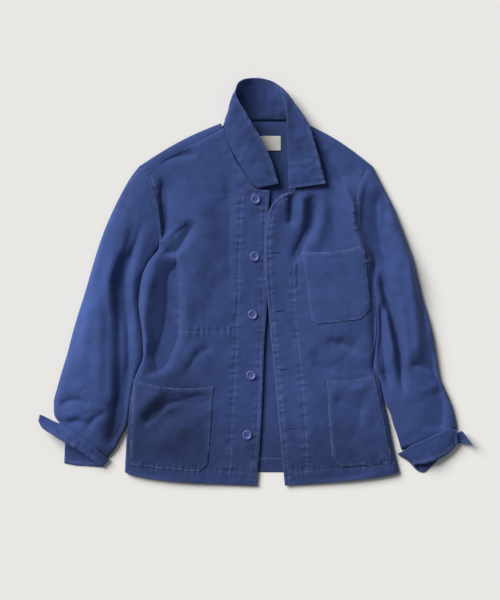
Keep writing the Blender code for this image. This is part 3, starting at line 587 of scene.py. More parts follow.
ALLOWANCE_DROP = 2.6
COLLAR_RAISED = 5.0  # the free edge of the collar's left leaf stands this much higher
CUFF_REACH = 8.0  # the upper layer of a sleeve's end goes on under the cuff this far
CUFF_DROP = 3.0
SLEEVE_ROWS = 210
FINE_SHARE = 0.6  # share of the smaller folds' stated depths that is used
FRONT_WRINKLES = 1.35
SLEEVE_WRINKLES = 1.3
COLLAR_CRINKLES = 1.5
CUFF_CRINKLES = 1.4
POCKET_MARGIN = 6.0  # from a pocket's edge to its stitching, and how far the front is read past the pocket
RIM_REACH = 3.0  # the sleeve's inner edge comes this much nearer the body
LOWEST_FRONT = 4.2  # a front's middle surface stays this far above the floor

VIEW_HEIGHT = 1.230  # metres of the surface that the picture's height takes in
VIEW_CENTRE = (-0.0103, -0.0359)
CAMERA_HEIGHT = 4.0
SENSOR = 36.0
SUN_STRENGTH = 4.16
SUN_ANGLE = 38  # degrees across: a large window
SUN_COLOUR = (1, 0.985, 0.96)
SUN_DIRECTION = (0.66, -0.62, -0.67)
SKY_STRENGTH = 0.19
SKY_COLOUR = (0.93, 0.96, 1, 1)
FLOOR_DROP = 0.0004
FLOOR_HALF = 6

CLOTH_BLUE = (0.0372, 0.069, 0.2245, 1)
CLOTH_WORN = (0.150, 0.200, 0.440, 1)
THREAD_BLUE = (0.060, 0.092, 0.270, 1)
BUTTON_BLUE = (0.085, 0.105, 0.340, 1)
LABEL_WHITE = (0.56, 0.56, 0.53, 1)
FLOOR_PALE = (0.847, 0.840, 0.8205, 1)

# How dark the cloth is painted: 0 is lightest and 1 is darkest; each spot adds to it round its middle
PLAIN_CLOTH_DARKNESS = 0.52
# The spots are painted shade and painted light: darker in the fold shadow by the right hip pocket, inside the
# back at the neck, at the hem and at the inner end of the right sleeve; lighter on the lit sleeves and right
# cuff
PAINTED_LIGHT_AND_SHADE_SPOTS = rows_of(
    Spot,
    (-350, -20, 70, 260, -0.52), (340, 20, 60, 240, -0.14), (-180, -280, 90, 110, 0.46),
    (60, -360, 260, 70, 0.36), (200, -290, 70, 110, 0.12), (-110, 150, 80, 100, -0.06),
    (30, -10, 80, 160, 0.08), (40, 300, 50, 60, 0.34), (-230, -60, 22, 110, -0.26),
    (-20, 300, 40, 80, -0.06), (-400, -300, 34, 26, -0.22), (-280, -320, 40, 50, 0.45),
    (110, 260, 40, 60, -0.06),
)


def lattice_noise(x, y, size, seed):
    """Smooth noise from -1 to 1 that changes over about the given size."""
    table = np.random.default_rng(seed).uniform(-1, 1, (64, 64))
    gx, gy = np.asarray(x) / size + 1000, np.asarray(y) / size + 1000
    ix, iy = np.floor(gx).astype(int), np.floor(gy).astype(int)
    tx, ty = smooth(gx - ix), smooth(gy - iy)
    pick = [[table[(ix + a) % 64, (iy + b) % 64] for b in (0, 1)] for a in (0, 1)]
    low = pick[0][0] * (1 - ty) + pick[0][1] * ty
    high = pick[1][0] * (1 - ty) + pick[1][1] * ty
    return low * (1 - tx) + high * tx


def grain(x, y, seed):
    """Specks from 0 to 1 that break up the wear along a seam."""
    return 0.5 + 0.5 * lattice_noise(x, y, GRAIN_SIZE, seed)


def near_line(x, y, line):
    """Each point's distance to a line in plan, and how far along the line that is."""
    best = np.full(np.shape(x), 1e9)
    along = np.zeros(np.shape(x))
    run = 0.0
    for (ax, ay), (bx, by) in zip(line, line[1:]):
        length = math.hypot(bx - ax, by - ay)
        if length < 1e-6:
            continue
        t = np.clip(((x - ax) * (bx - ax) + (y - ay) * (by - ay)) / length**2, 0, 1)
        distance = np.hypot(x - ax - t * (bx - ax), y - ay - t * (by - ay))
        closer = distance < best
        best = np.where(closer, distance, best)
        along = np.where(closer, run + t * length, along)
        run += length
    return best, along


def creased(creases, x, y):
    """The height that creases give a place: a valley is sharp along its line and a ridge is round."""
    total = np.zeros(np.shape(x))
    for crease in creases:
        knots = np.arange(len(crease.line))
        at = np.linspace(0, knots[-1], 4 * knots[-1] + 1)
        px, py = (through(knots, [p[k] for p in crease.line], at) for k in (0, 1))
        best = np.full(np.shape(x), 1e9)
        side, along, run = np.zeros(np.shape(x)), np.zeros(np.shape(x)), 0.0
        for ax, ay, bx, by in zip(px, py, px[1:], py[1:]):
            length = math.hypot(bx - ax, by - ay)
            ux, uy = (bx - ax) / length, (by - ay) / length
            t = np.clip((x - ax) * ux + (y - ay) * uy, 0, length)
            distance = np.hypot(x - ax - t * ux, y - ay - t * uy)
            closer = distance < best
            best = np.where(closer, distance, best)
            side = np.where(closer, ux * (y - ay) - uy * (x - ax), side)
            along = np.where(closer, run + t, along)
            run += length
        reach = np.where(side > 0, crease.left, crease.right)
        share = along / run
        ends = smooth(share / 0.22) * smooth((1 - share) / 0.22)
        power = 1.35 if crease.depth < 0 else 2.0
        near = np.sqrt(best**2 + 1.0) - 1.0
        total += crease.depth * ends * np.exp(-((near / reach) ** power))
    return total


def wrinkles(x, y, seed):
    """The cloth's small unevenness."""
    big = lattice_noise(x, y, 95, seed) * 1.7
    lean = lattice_noise(x + 0.5 * y, 0.6 * y, 42, seed + 1) * 1.1
    middle = lattice_noise(x - 0.3 * y, y, 26, seed + 2) * 0.5
    ridged = 0.5 - np.abs(lattice_noise(x + 0.6 * y, 0.5 * y, 34, seed + 4))
    return big + lean + middle + ridged * 1.1 + lattice_noise(x, y, 11, seed + 3) * 0.22


def seam_effect(x, y, lines, seed):
    """(height, wear) that seams and edges give the cloth near them."""
    height = np.zeros(np.shape(x))
    wear = np.zeros(np.shape(x))
    for k, line in enumerate(lines):
        distance, along = near_line(x, y, line)
        beat = lattice_noise(along, along * 0 + 17.0 * k, PUCKER_PITCH * 0.55, seed + k)
        height += -SEAM_SINK * bell(distance, 2.2)
        height += PUCKER_DEPTH * beat * bell(distance, 8.0) * (1 - 0.6 * bell(distance, 1.6))
        grain = 0.55 + 0.45 * lattice_noise(along, distance, 4.0, seed + 50 + k)
        wear = np.maximum(wear, grain * bell(distance, WEAR_REACH))
        wear = np.maximum(wear, 1.2 * np.maximum(beat - 0.15, 0) * bell(distance, 7.0))
    return height, wear


def inset_line(points, distance):
    """A line in plan, moved to its left by a distance."""
    points = np.asarray(points, float)[:, :2]
    step = np.gradient(points, axis=0)
    step /= np.linalg.norm(step, axis=1, keepdims=True) + 1e-9
    return points + np.column_stack([-step[:, 1], step[:, 0]]) * distance


def thin(line, count=60):
    """A line with fewer points, for measuring distances to it."""
    line = np.asarray(line)
    return line[np.unique(np.linspace(0, len(line) - 1, count).astype(int))][:, :2]


def normals_of(grid):
    """The unit normal at each point of a grid."""
    across = np.gradient(grid, axis=1)
    along = np.gradient(grid, axis=0)
    normal = np.cross(across, along)
    return normal / (np.linalg.norm(normal, axis=-1, keepdims=True) + 1e-9)


def spline_rows(grid, steps):
    """A grid with smooth rows added between the given ones."""
    at = np.linspace(0, len(grid) - 1, steps)
    knots = np.arange(len(grid))
    flat = grid.reshape(len(grid), -1)
    return np.column_stack([through(knots, flat[:, k], at) for k in range(flat.shape[1])]).reshape(
        (steps,) + grid.shape[1:]
    )


# Meshes and materials


def painted_light_and_shade_at(x, y):
    """How dark the cloth is painted at a place, with painted light and painted shade."""
    total = np.full(np.shape(x), PLAIN_CLOTH_DARKNESS)
    for spot in PAINTED_LIGHT_AND_SHADE_SPOTS:
        total += spot.depth * np.exp(-(((x - spot.x) / spot.wide) ** 2) - ((y - spot.y) / spot.long) ** 2)
    return np.clip(total, 0, 1)


def mesh_from(name, grid, wear=None, closed=False, keep=None):
    """Faces through a grid of points in millimetres, with the wear and the painted light and shade as
    attributes.
    """
    rows, columns = grid.shape[:2]
    i, j = np.meshgrid(np.arange(rows - 1), np.arange(columns if closed else columns - 1), indexing="ij")
    i, j = i.ravel(), j.ravel()
    if keep is not None:
        kept = np.array([keep(a, b) for a, b in zip(i, j)])
        i, j = i[kept], j[kept]
    k = (j + 1) % columns
    faces = np.stack([i * columns + j, i * columns + k, (i + 1) * columns + k, (i + 1) * columns + j], -1)
    mesh = bpy.data.meshes.new(name)
    mesh.from_pydata((grid.reshape(-1, 3) * MM).tolist(), [], faces.tolist())
    attribute = mesh.attributes.new("wear", "FLOAT", "POINT")
    values = np.zeros(rows * columns) if wear is None else np.asarray(wear, float).ravel()
    attribute.data.foreach_set("value", values.astype(np.float32))
    # Painted light and painted shade for the cloth's colour
    light_and_shade_paint = mesh.attributes.new("light_and_shade_paint", "FLOAT", "POINT")
    light_and_shade_paint.data.foreach_set("value", painted_light_and_shade_at(grid[..., 0], grid[..., 1]).ravel().astype(np.float32))
    if keep is not None:
        drop_loose(mesh)
    mesh.shade_smooth()
    return mesh


def add_object(name, data):
    thing = bpy.data.objects.new(name, data)
    bpy.context.scene.collection.objects.link(thing)
    return thing


def mesh_of(made, name):
    """A mesh made from a bmesh, which is freed."""
    mesh = bpy.data.meshes.new(name)
    made.to_mesh(mesh)
    made.free()
    return mesh


def cut_from(piece, cutter_mesh):
    """The piece's mesh with its modifiers applied and the cutter's shape cut away."""
    cutter = add_object("cutter", cutter_mesh)
    holes = piece.modifiers.new("holes", "BOOLEAN")
    holes.operation = "DIFFERENCE"
    holes.object = cutter
    bpy.context.view_layer.update()
    final = bpy.data.meshes.new_from_object(piece.evaluated_get(bpy.context.evaluated_depsgraph_get()))
    bpy.data.objects.remove(cutter)
    return final


def drop_onto(tree, x, y):
    """The (place in metres, upward normal) straight below a point of the plan, or None."""
    hit, normal, _, _ = tree.ray_cast(Vector((x * MM, y * MM, 1)), Vector((0, 0, -1)))
    if hit is None:
        return None
    return hit, normal if normal.z > 0 else -normal


def drop_loose(mesh):
    made = bmesh.new()
    made.from_mesh(mesh)
    bmesh.ops.delete(made, geom=[v for v in made.verts if not v.link_faces], context="VERTS")
    made.to_mesh(mesh)
    made.free()


def place_piece(name, mesh, finish, nodes, thickness=None):
    thing = add_object(name, mesh)
    mesh.materials.clear()
    mesh.materials.append(finish)
    if thickness:
        wall = thing.modifiers.new("wall", "SOLIDIFY")
        wall.thickness = thickness * MM
        wall.offset = 0
    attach(thing, "root")
    if nodes:
        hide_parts(*nodes)
    return thing


def cloth_piece(node, mesh, finish, wall):
    return place_piece(node + "_cloth", mesh, finish, [node], wall)


def scaled(colour, factor):
    return tuple(min(1, v * factor) for v in colour[:3]) + (1,)


class Finish:
    """A material being made, with short ways to add and join its nodes."""

    def __init__(self, name):
        self.material = bpy.data.materials.new(name)
        self.material.use_nodes = True
        self.tree = self.material.node_tree
        self.shader = self.tree.nodes["Principled BSDF"]
        self.place = self.node("TexCoord").outputs["Object"]

    def feed(self, socket, value):
        """Joins a socket to another one, or gives it a constant."""
        if isinstance(value, bpy.types.NodeSocket):
            self.tree.links.new(value, socket)
        else:
            socket.default_value = value

    def node(self, kind, **inputs):
        made = self.tree.nodes.new("ShaderNode" + kind)
        for key, value in inputs.items():
            self.feed(made.inputs[key.replace("_", " ")], value)
        return made

    def noise(self, scale, detail=2):
        return self.node("TexNoise", Scale=scale, Detail=detail, Vector=self.place).outputs["Fac"]

    def attribute(self, name):
        made = self.node("Attribute")
        made.attribute_name = name
        return made.outputs["Fac"]

    def remap(self, value, low, high, to_low, to_high):
        made = self.node("MapRange", Value=value, From_Min=low, From_Max=high, To_Min=to_low, To_Max=to_high)
        return made.outputs["Result"]

    def mix(self, share, first, second):
        made = self.node("Mix")
        made.data_type = "RGBA"
        for socket, value in (("Factor", share), (6, first), (7, second)):
            self.feed(made.inputs[socket], value)
        return made.outputs[2]

    def bump(self, height, strength, distance, **inputs):
        made = self.node("Bump", Height=height, Strength=strength, Distance=distance, **inputs)
        return made.outputs["Normal"]

    def finished(self, colour, normal, **inputs):
        self.feed(self.shader.inputs["Base Color"], colour)
        self.feed(self.shader.inputs["Normal"], normal)
        for key, value in inputs.items():
            self.shader.inputs[key.replace("_", " ")].default_value = value
        return self.material


def cloth_material(name, base, worn):
    """Dyed twill: mottled and slubbed, lighter and darker by the painted light and painted shade, worn pale
    at the seams.
    """
    made = Finish(name)
    # Painted light and shade: the attribute mixes lighter and darker copies of the cloth's blue
    light_and_shade_paint = made.attribute("light_and_shade_paint")
    lit_to_shaded_paint = made.mix(light_and_shade_paint, scaled(base, 1.42), scaled(base, 0.41))
    lit_to_shaded_paint_deeper = made.mix(light_and_shade_paint, scaled(base, 1.24), scaled(base, 0.27))
    mottled = made.mix(made.remap(made.noise(34, 6), 0.36, 0.64, 0, 1), lit_to_shaded_paint, lit_to_shaded_paint_deeper)
    slubbed = made.mix(made.remap(made.noise(900, 3), 0.45, 0.75, 0, 0.7), mottled, scaled(base, 1.1))
    broken = made.node("Math")
    broken.operation = "MULTIPLY"
    made.feed(broken.inputs[0], made.attribute("wear"))
    made.feed(broken.inputs[1], made.remap(made.noise(420, 4), 0.35, 0.6, 0.35, 1))
    colour = made.mix(broken.outputs[0], slubbed, worn)
    turned = made.node("Mapping", Rotation=(0, 0, math.radians(58)), Vector=made.place).outputs["Vector"]
    twill = made.node("TexWave", Scale=340, Distortion=0.8, Vector=turned).outputs["Fac"]
    weave = made.bump(twill, 0.35, 0.00018)
    crumple = made.bump(made.noise(110, 5), 0.35, 0.0016, Normal=weave)
    return made.finished(
        colour, crumple, Roughness=0.88, Specular_IOR_Level=0.25, Sheen_Weight=0.12, Sheen_Roughness=0.45
    )


def plain_material(name, colour, roughness, bump_scale, bump_depth, specular=0.5, uneven=0.13):
    made = Finish(name)
    noise = made.noise(bump_scale)
    shade = made.mix(noise, scaled(colour, 1 - uneven), scaled(colour, 1 + uneven))
    return made.finished(
        shade, made.bump(noise, 0.4, bump_depth), Roughness=roughness, Specular_IOR_Level=specular
    )


# Stitching: every stitch is a small pointed bead lying on the cloth


class Thread:
    def __init__(self):
        self.points = []
        self.faces = []

    def stitch(self, start, end, up, width=STITCH_WIDTH):
        along = end - start
        length = np.linalg.norm(along)
        side = np.cross(up, along / length)
        middle = (start + end) / 2
        first = len(self.points)
        half, high = side * width / 2, up * width * 0.45
        self.points += [start, end, middle + half, middle - half, middle + high, middle - high]
        for a, b in ((2, 4), (4, 3), (3, 5), (5, 2)):
            self.faces += [(first, first + a, first + b), (first + 1, first + b, first + a)]

    def run(self, places, ups, lift):
        """Stitches along a line of places with an upward direction at each."""
        places, ups = np.asarray(places, float), np.asarray(ups, float)
        steps = np.linalg.norm(np.diff(places, axis=0), axis=1)
        run = np.concatenate([[0], np.cumsum(steps)])
        at = 0.0
        while at + STITCH < run[-1]:
            ends = [np.array([np.interp(t, run, places[:, k]) for k in range(3)]) for t in (at, at + STITCH)]
            up = np.array([np.interp(at, run, ups[:, k]) for k in range(3)])
            up /= np.linalg.norm(up)
            self.stitch(ends[0] + up * lift, ends[1] + up * lift, up)
            at += STITCH + STITCH_GAP

    def on_surface(self, tree, line, lift):
        """Stitches along a line in plan, laid on the surface below it."""
        line = np.asarray(line, float)
        steps = np.hypot(*np.diff(line, axis=0).T)
        run = np.concatenate([[0], np.cumsum(steps)])
        places, ups = [], []
        for t in np.arange(0, run[-1], 1.5):
            x, y = np.interp(t, run, line[:, 0]), np.interp(t, run, line[:, 1])
            found = drop_onto(tree, x, y)
            if found:
                places.append(np.array(found[0]) / MM)
                ups.append(np.array(found[1]))
        if len(places) > 3:
            self.run(places, ups, lift)

    def mesh(self, name):
        mesh = bpy.data.meshes.new(name)
        mesh.from_pydata((np.array(self.points) * MM).tolist(), [], self.faces)
        mesh.shade_smooth()
        return mesh


def tree_of(mesh):
    made = bmesh.new()
    made.from_mesh(mesh)
    tree = BVHTree.FromBMesh(made)
    made.free()
    return tree


# Panels


def fade_at_border(grid, reach):
    """0 on the border of a grid of points and 1 inside."""
    fade = np.ones(grid.shape[:2])
    for edge in (grid[:, :1], grid[:, -1:]):
        fade = fade * smooth(np.linalg.norm(grid - edge, axis=-1) / reach)
    for edge in (grid[:1], grid[-1:]):
        fade = fade * smooth(np.linalg.norm(grid - edge, axis=-1) / reach)
    return fade


def detailed_front(grid, fine, creases, seams, seed, edge_side):
    """The front's surface with its smaller folds, its wear, and the lines along which it is stitched."""
    x, y = grid[..., 0], grid[..., 1]
    side, hem, edge = thin(grid[:, 0]), thin(grid[0]), thin(grid[:, -1], 110)
    inner = [inset_line(edge, edge_side * inset) for inset in EDGE_INSETS]
    hem_line = hem + (0, HEM_INSET)
    arm = inset_line(thin(grid[len(BODY_ROWS) :, 0]), -edge_side * ARM_SEAM_INSET)
    seams = [np.asarray(seam, float) for seam in seams]
    height, wear = seam_effect(x, y, seams + [hem_line, inner[1], arm], seed)
    wear = wear * 0.3
    specks = grain(x, y, seed + 9)
    for line, share, reach in ((edge, 0.95, 1.4), (hem, 0.6, 1.4), (side, 0.5, 2.0)):
        wear = np.maximum(wear, share * specks * bell(near_line(x, y, line)[0], reach))
    small = fold_height(fine, x, y) * FINE_SHARE + creased(creases, x, y)
    small = (small + wrinkles(x, y, seed) * FRONT_WRINKLES + height) * fade_at_border(grid, 9)
    if edge_side < 0:
        small = small + creased(ARMHOLE_RIDGE, x, y)
    made = grid.copy()
    made[..., 2] = np.maximum(grid[..., 2] + small, np.minimum(grid[..., 2], LOWEST_FRONT))
    return made, wear, seams + inner + [hem_line, arm]


def full_back():
    """The back with its shoulder strips, as one grid, and which cells are cloth."""
    u, neck = back_columns()
    body = back_grid()
    count = len(BACK_COLUMNS_SIDE)
    share = u[:count] / neck[0]
    right = shoulder_rows(ARM_RIGHT, NECK_RIGHT, FOLD_AT_NECK_RIGHT, share)
    left = shoulder_rows(ARM_LEFT, NECK_LEFT, FOLD_AT_NECK_LEFT, (1 - u[-count:]) / (1 - neck[1]))
    full = np.zeros((len(body) + len(right) + 1, len(u), 3))
    full[: len(body)] = body
    full[len(body) : -1, :count] = right
    full[len(body) : -1, -count:] = left
    tuck = full[-2] - full[-3]
    tuck /= np.linalg.norm(tuck, axis=-1, keepdims=True) + 1e-9
    full[-1] = full[-2] + tuck * ALLOWANCE_REACH - (0, 0, ALLOWANCE_DROP)
    inner = slice(count, len(u) - count)
    neckline = body[-1, inner].copy()
    neckline[:, 1] = NECKLINE_Y
    full[len(body), inner] = neckline
    top = len(body) - 1

    def keep(i, j):
        return i < top or j < count - 1 or j >= len(u) - count or i == top

    return full, keep, top


def fine_sleeve(arm, rings, folds, fine, creases, under_reach, seed):
    """A sleeve's rings drawn finely, with the edges that go under the front and the cuff, and its wear."""
    plain = spline_rows(sleeve_grid(arm, rings, (), under_reach), SLEEVE_ROWS)
    s = np.array(RING_TOP + RING_BOTTOM)
    on_top = np.arange(len(s)) < len(RING_TOP)
    x, y = plain[..., 0], plain[..., 1]
    t = np.linspace(0, 1, len(plain))[:, None]
    inside = smooth(np.minimum(s, 1 - s) / 0.10)[None]
    ends = smooth(t / 0.03) * smooth((1 - t) / 0.03)
    largest = fold_height(folds, x, y) * inside
    small = fold_height(fine, x, y) * FINE_SHARE + creased(creases, x, y)
    small = (small + wrinkles(x, y, seed) * SLEEVE_WRINKLES) * inside * ends
    if arm is ARM_LEFT:
        small = small + creased(ARMHOLE_RIDGE, x, y)
    z = np.maximum(plain[..., 2] + largest + small, FLOOR + 3.5)
    made = plain.copy()
    made[..., 2] = np.where(on_top[None], z, plain[..., 2])
    nearer = np.sign(arm.fold_x) * RIM_REACH * smooth((0.12 - s) / 0.12)[None]
    made[..., 0] -= nearer * smooth((t - 0.02) / 0.05)

    drop = np.where(on_top, -ALLOWANCE_DROP, 0.0)
    allowance = made[:1] + np.column_stack([0 * s + np.sign(arm.bow) * ALLOWANCE_REACH, 0 * s, drop])
    level = ~on_top | (inside[0] <= 0)
    allowance[0, level] = made[0, level] + (0, 0, 0.01)
    onward = made[-1:] - made[-4:-3]
    onward /= np.linalg.norm(onward, axis=-1, keepdims=True) + 1e-9
    share = np.where(on_top, 1.0, 0.01)[None, :, None]
    cuff_end = made[-1:] + share * (onward * CUFF_REACH - (0, 0, CUFF_DROP))

    span = np.linalg.norm(np.gradient(plain, axis=0), axis=-1).cumsum(axis=0)
    head = bell(span, 3.0) * grain(x, y, seed + 5)
    seam = bell(s - 0.97, 0.02)[None] * (0.4 + 0.4 * lattice_noise(x, y, 6, seed + 6))
    wear = np.maximum(head * 0.35, seam * 0.3)
    return np.vstack([allowance, made, cuff_end]), np.vstack([wear[:1], wear, wear[-1:]])


def arc_lengths(grid):
    """How far each point of a grid is along its own row."""
    steps = np.linalg.norm(np.diff(grid, axis=1), axis=-1)
    return np.concatenate([np.zeros((len(grid), 1)), np.cumsum(steps, axis=1)], axis=1)


def fine_strip(stations, names, steps, rows, seed, rough, raised=0.0):
    """A collar or cuff drawn finely, with crinkles, and the wear along its free edges."""
    grid = np.swapaxes(strip_grid(stations, steps, rows, names), 0, 1)  # its rows run across the strip
    span = np.linalg.norm(np.diff(grid[:, 0], axis=0), axis=1)
    along = np.concatenate([[0], np.cumsum(span)])[:, None] + np.zeros(grid.shape[:2])
    length = along.max()
    across = arc_lengths(grid)
    width = across[:, -1:]
    free = width - across
    crinkle = lattice_noise(along, across * 0.35, 9, seed) * 0.6
    crinkle = crinkle + lattice_noise(along, across, 26, seed + 1) * 0.9
    crinkle = crinkle + 0.9 * (0.4 - np.abs(lattice_noise(along + 0.4 * across, 0.7 * across, 15, seed + 4)))
    fade = smooth(across / 6) * smooth(along / 6) * smooth((length - along) / 6)
    seam = bell(free - 6.5, 1.6)
    lift = (crinkle * rough - 0.5 * seam) * fade
    wear = bell(free, 2.0) + 0.6 * seam
    wear = np.maximum(wear, bell(along, 2.0))
    wear = np.maximum(wear, bell(length - along, 2.0)) * grain(along, across, seed + 2)
    made = grid + normals_of(grid) * lift[..., None]
    made[..., 2] += raised * smooth(across / width) * smooth((along / length - 0.6) / 0.2)
    made[..., 2] = np.maximum(made[..., 2], DOUBLE / 2)
    return made, wear


def strip_stitches(thread, grid, inset):
    """Stitches on both faces of a strip, at a distance inside its free edge."""
    arc = arc_lengths(grid)
    at = arc[:, -1] - inset
    rows = zip(at, arc, grid)
    places = np.array([[np.interp(place, run, row[:, k]) for k in range(3)] for place, run, row in rows])
    nearest = np.abs(arc - at[:, None]).argmin(axis=1)
    ups = normals_of(grid)[np.arange(len(grid)), nearest]
    for sign in (1, -1):
        thread.run(places[3:-3], ups[3:-3] * sign, DOUBLE / 2)


def sagged(points, outline, sag):
    """Points in plan, moved as the pocket's opening sags: most at its middle and not at the bottom."""
    points = np.array(points, float)
    left, right = outline[0], outline[1]
    share = np.clip((points[:, 0] - left[0]) / (right[0] - left[0]), 0, 1)
    lowest = min(p[1] for p in outline)
    points[:, 1] -= sag * 4 * share * (1 - share) * smooth((points[:, 1] - lowest) / (left[1] - lowest))
    return points


def height_on(tree, x, y):
    found = drop_onto(tree, x, y)
    return found and found[0].z / MM


def part_under(front, outline):
    """The part of a front's grid that a pocket covers, with a margin."""
    low, high = np.min(outline, axis=0) - POCKET_MARGIN, np.max(outline, axis=0) + POCKET_MARGIN
    x, y = front[..., 0], front[..., 1]
    inside = (x > low[0]) & (x < high[0]) & (y > low[1]) & (y < high[1])
    rows, columns = np.where(inside.any(1))[0], np.where(inside.any(0))[0]
    return front[rows[0] : rows[-1] + 1, columns[0] : columns[-1] + 1]


def cut_to_outline(mesh, outline):
    """Keeps what is inside a convex outline."""
    made = bmesh.new()
    made.from_mesh(mesh)
    corners = [Vector((a * MM, b * MM, 0)) for a, b in outline]
    centre = sum(corners, Vector()) / len(corners)
    for a, b in zip(corners, corners[1:] + corners[:1]):
        outward = Vector((b.y - a.y, a.x - b.x, 0)).normalized()
        outward *= -1 if outward.dot(centre - a) > 0 else 1
        geometry = made.verts[:] + made.edges[:] + made.faces[:]
        bmesh.ops.bisect_plane(made, geom=geometry, dist=1e-7, plane_co=a, plane_no=outward, clear_outer=True)
    made.to_mesh(mesh)
    made.free()


def pocket_piece(node, front, front_tree, outline, sag, seed, finish, thread):
    """A patch pocket made from the front's finished surface, with its hem, edge stitches and wear."""
    part = part_under(front, outline)
    normal = normals_of(part)
    normal *= np.sign(normal[..., 2:])
    part = part + normal * (CLOTH / 2 + LAID + PATCH / 2)
    x, y = part[..., 0], part[..., 1]
    border, along = near_line(x, y, outline + outline[:1])
    to_top, _ = near_line(x, y, outline[:2])
    specks = grain(x, y, seed)
    wear = np.maximum(bell(border, 1.7), 0.25 * bell(border - 5.0, 1.4)) * specks
    wear = np.maximum(wear, 0.2 * specks * bell(to_top - 18, 1.5))
    puff = 0.9 * smooth(border / 9) + wrinkles(x, y, seed) * 0.5 * smooth(border / 14)
    beat = lattice_noise(along, along * 0, PUCKER_PITCH * 0.6, seed + 3)
    puff = puff + 0.45 * beat * bell(border - 6, 5) * smooth(border / 3)
    part[..., 2] += np.maximum(puff, 0)
    mesh = mesh_from(node + "_cloth", part, wear)
    cut_to_outline(mesh, outline)
    before = np.array([v.co for v in mesh.vertices]) / MM
    after = sagged(before[:, :2], outline, sag)
    for vertex, (x0, y0, z0), (x1, y1) in zip(mesh.vertices, before, after):
        was, now = height_on(front_tree, x0, y0), height_on(front_tree, x1, y1)
        vertex.co = (x1 * MM, y1 * MM, (z0 + (now - was if was and now else 0)) * MM)
    piece = cloth_piece(node, mesh, finish, PATCH)
    middle = np.mean(outline, axis=0)
    shrunk = [np.array(p) + (middle - p) / np.linalg.norm(middle - p) * POCKET_MARGIN for p in outline]
    loop = [a + (b - a) * k / 12 for a, b in zip(shrunk, shrunk[1:] + shrunk[:1]) for k in range(12)]
    thread.on_surface(tree_of(mesh), sagged(loop + loop[:1], outline, sag), PATCH / 2)
    area = 0.5 * abs(sum(a[0] * b[1] - b[0] * a[1] for a, b in zip(outline, outline[1:] + outline[:1])))
    return piece, area * MM * MM


# Buttons, label and buttonholes


def lathe(profile, steps):
    angle = np.linspace(0, math.tau, steps, endpoint=False)
    r, z = np.array(profile).T
    return np.stack([np.outer(r, np.cos(angle)), np.outer(r, np.sin(angle)), np.outer(z, np.ones(steps))], -1)


def button_master(finish):
    """One button with its rim and four holes, about its own centre."""
    mesh = mesh_from("button_shape", lathe(BUTTON_PROFILE, BUTTON_STEPS), closed=True)
    made = bmesh.new()
    made.from_mesh(mesh)
    bmesh.ops.holes_fill(made, edges=[e for e in made.edges if len(e.link_faces) == 1], sides=0)
    bmesh.ops.recalc_face_normals(made, faces=made.faces)
    made.to_mesh(mesh)
    made.free()
    shape = add_object("button_shape", mesh)
    pins = bmesh.new()
    half, radius = BUTTON_HOLE_PITCH * MM, BUTTON_HOLE * MM
    for x in (-half, half):
        for y in (-half, half):
            bmesh.ops.create_cone(
                pins, cap_ends=True, segments=20, radius1=radius, radius2=radius, depth=0.01,
                matrix=Matrix.Translation((x, y, 0.001)),
            )
    final = cut_from(shape, mesh_of(pins, "pins"))
    bpy.data.objects.remove(shape)
    final.shade_smooth()
    final.materials.clear()
    final.materials.append(finish)
    return final


def place_button(number, master, tree, x, y, thread):
    """A copy of the button on the front's surface, sewn on with two crossed rows of stitches."""
    hit, normal = drop_onto(tree, x, y)
    thing = add_object(f"button_piece_{number}", master.copy())
    lean = Vector((0, 0, 1)).rotation_difference(normal).to_matrix().to_4x4()
    turn = Matrix.Rotation(0.3 * number, 4, "Z")
    lift = (CLOTH / 2 + 0.2) * MM
    matrix = Matrix.Translation(hit + normal * lift) @ lean @ turn
    thing.matrix_world = matrix
    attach(thing, "root")
    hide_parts(f"button_{number}")
    half = BUTTON_HOLE_PITCH
    for offset in (-0.35, 0, 0.35):
        for ends in (((-half, -half), (half, half)), ((-half, half), (half, -half))):
            places = [matrix @ Vector((a * MM + offset * MM, b * MM, 0.0019)) for a, b in ends]
            start, end = (np.array(place) / MM for place in places)
            thread.stitch(start, end, np.array(normal), BUTTON_STITCH_WIDTH)


def buttonhole(thread, tree, x, y):
    """A row of short stitches along each side of a slit."""
    half = SLOT_LENGTH / 2 + 1
    for side in (-1, 1):
        for k in range(SLOT_STITCHES + 1):
            at = x - half + 2 * half * k / SLOT_STITCHES
            found = drop_onto(tree, at, y + side * 1.9 + SLOT_LEAN * (at - x))
            if found:
                up = np.array(found[1])
                place = np.array(found[0]) / MM + up * (CLOTH / 2)
                start, end = place + (0, -side * 1.0, 0), place + (0, side * 0.9, 0)
                thread.stitch(start, end, up, BUTTON_STITCH_WIDTH)


def cut_slots(piece, tree):
    """Cuts the buttonholes' slits through the front."""
    made = bmesh.new()
    size = Matrix.Diagonal((SLOT_LENGTH * MM, SLOT_WIDTH * MM, 0.012, 1))
    for x, y in BUTTONHOLES:
        place = Matrix.Translation(drop_onto(tree, x, y)[0])
        bmesh.ops.create_cube(made, size=1, matrix=place @ Matrix.Rotation(SLOT_LEAN, 4, "Z") @ size)
    final = cut_from(piece, mesh_of(made, "slots"))
    piece.modifiers.clear()
    piece.data = final


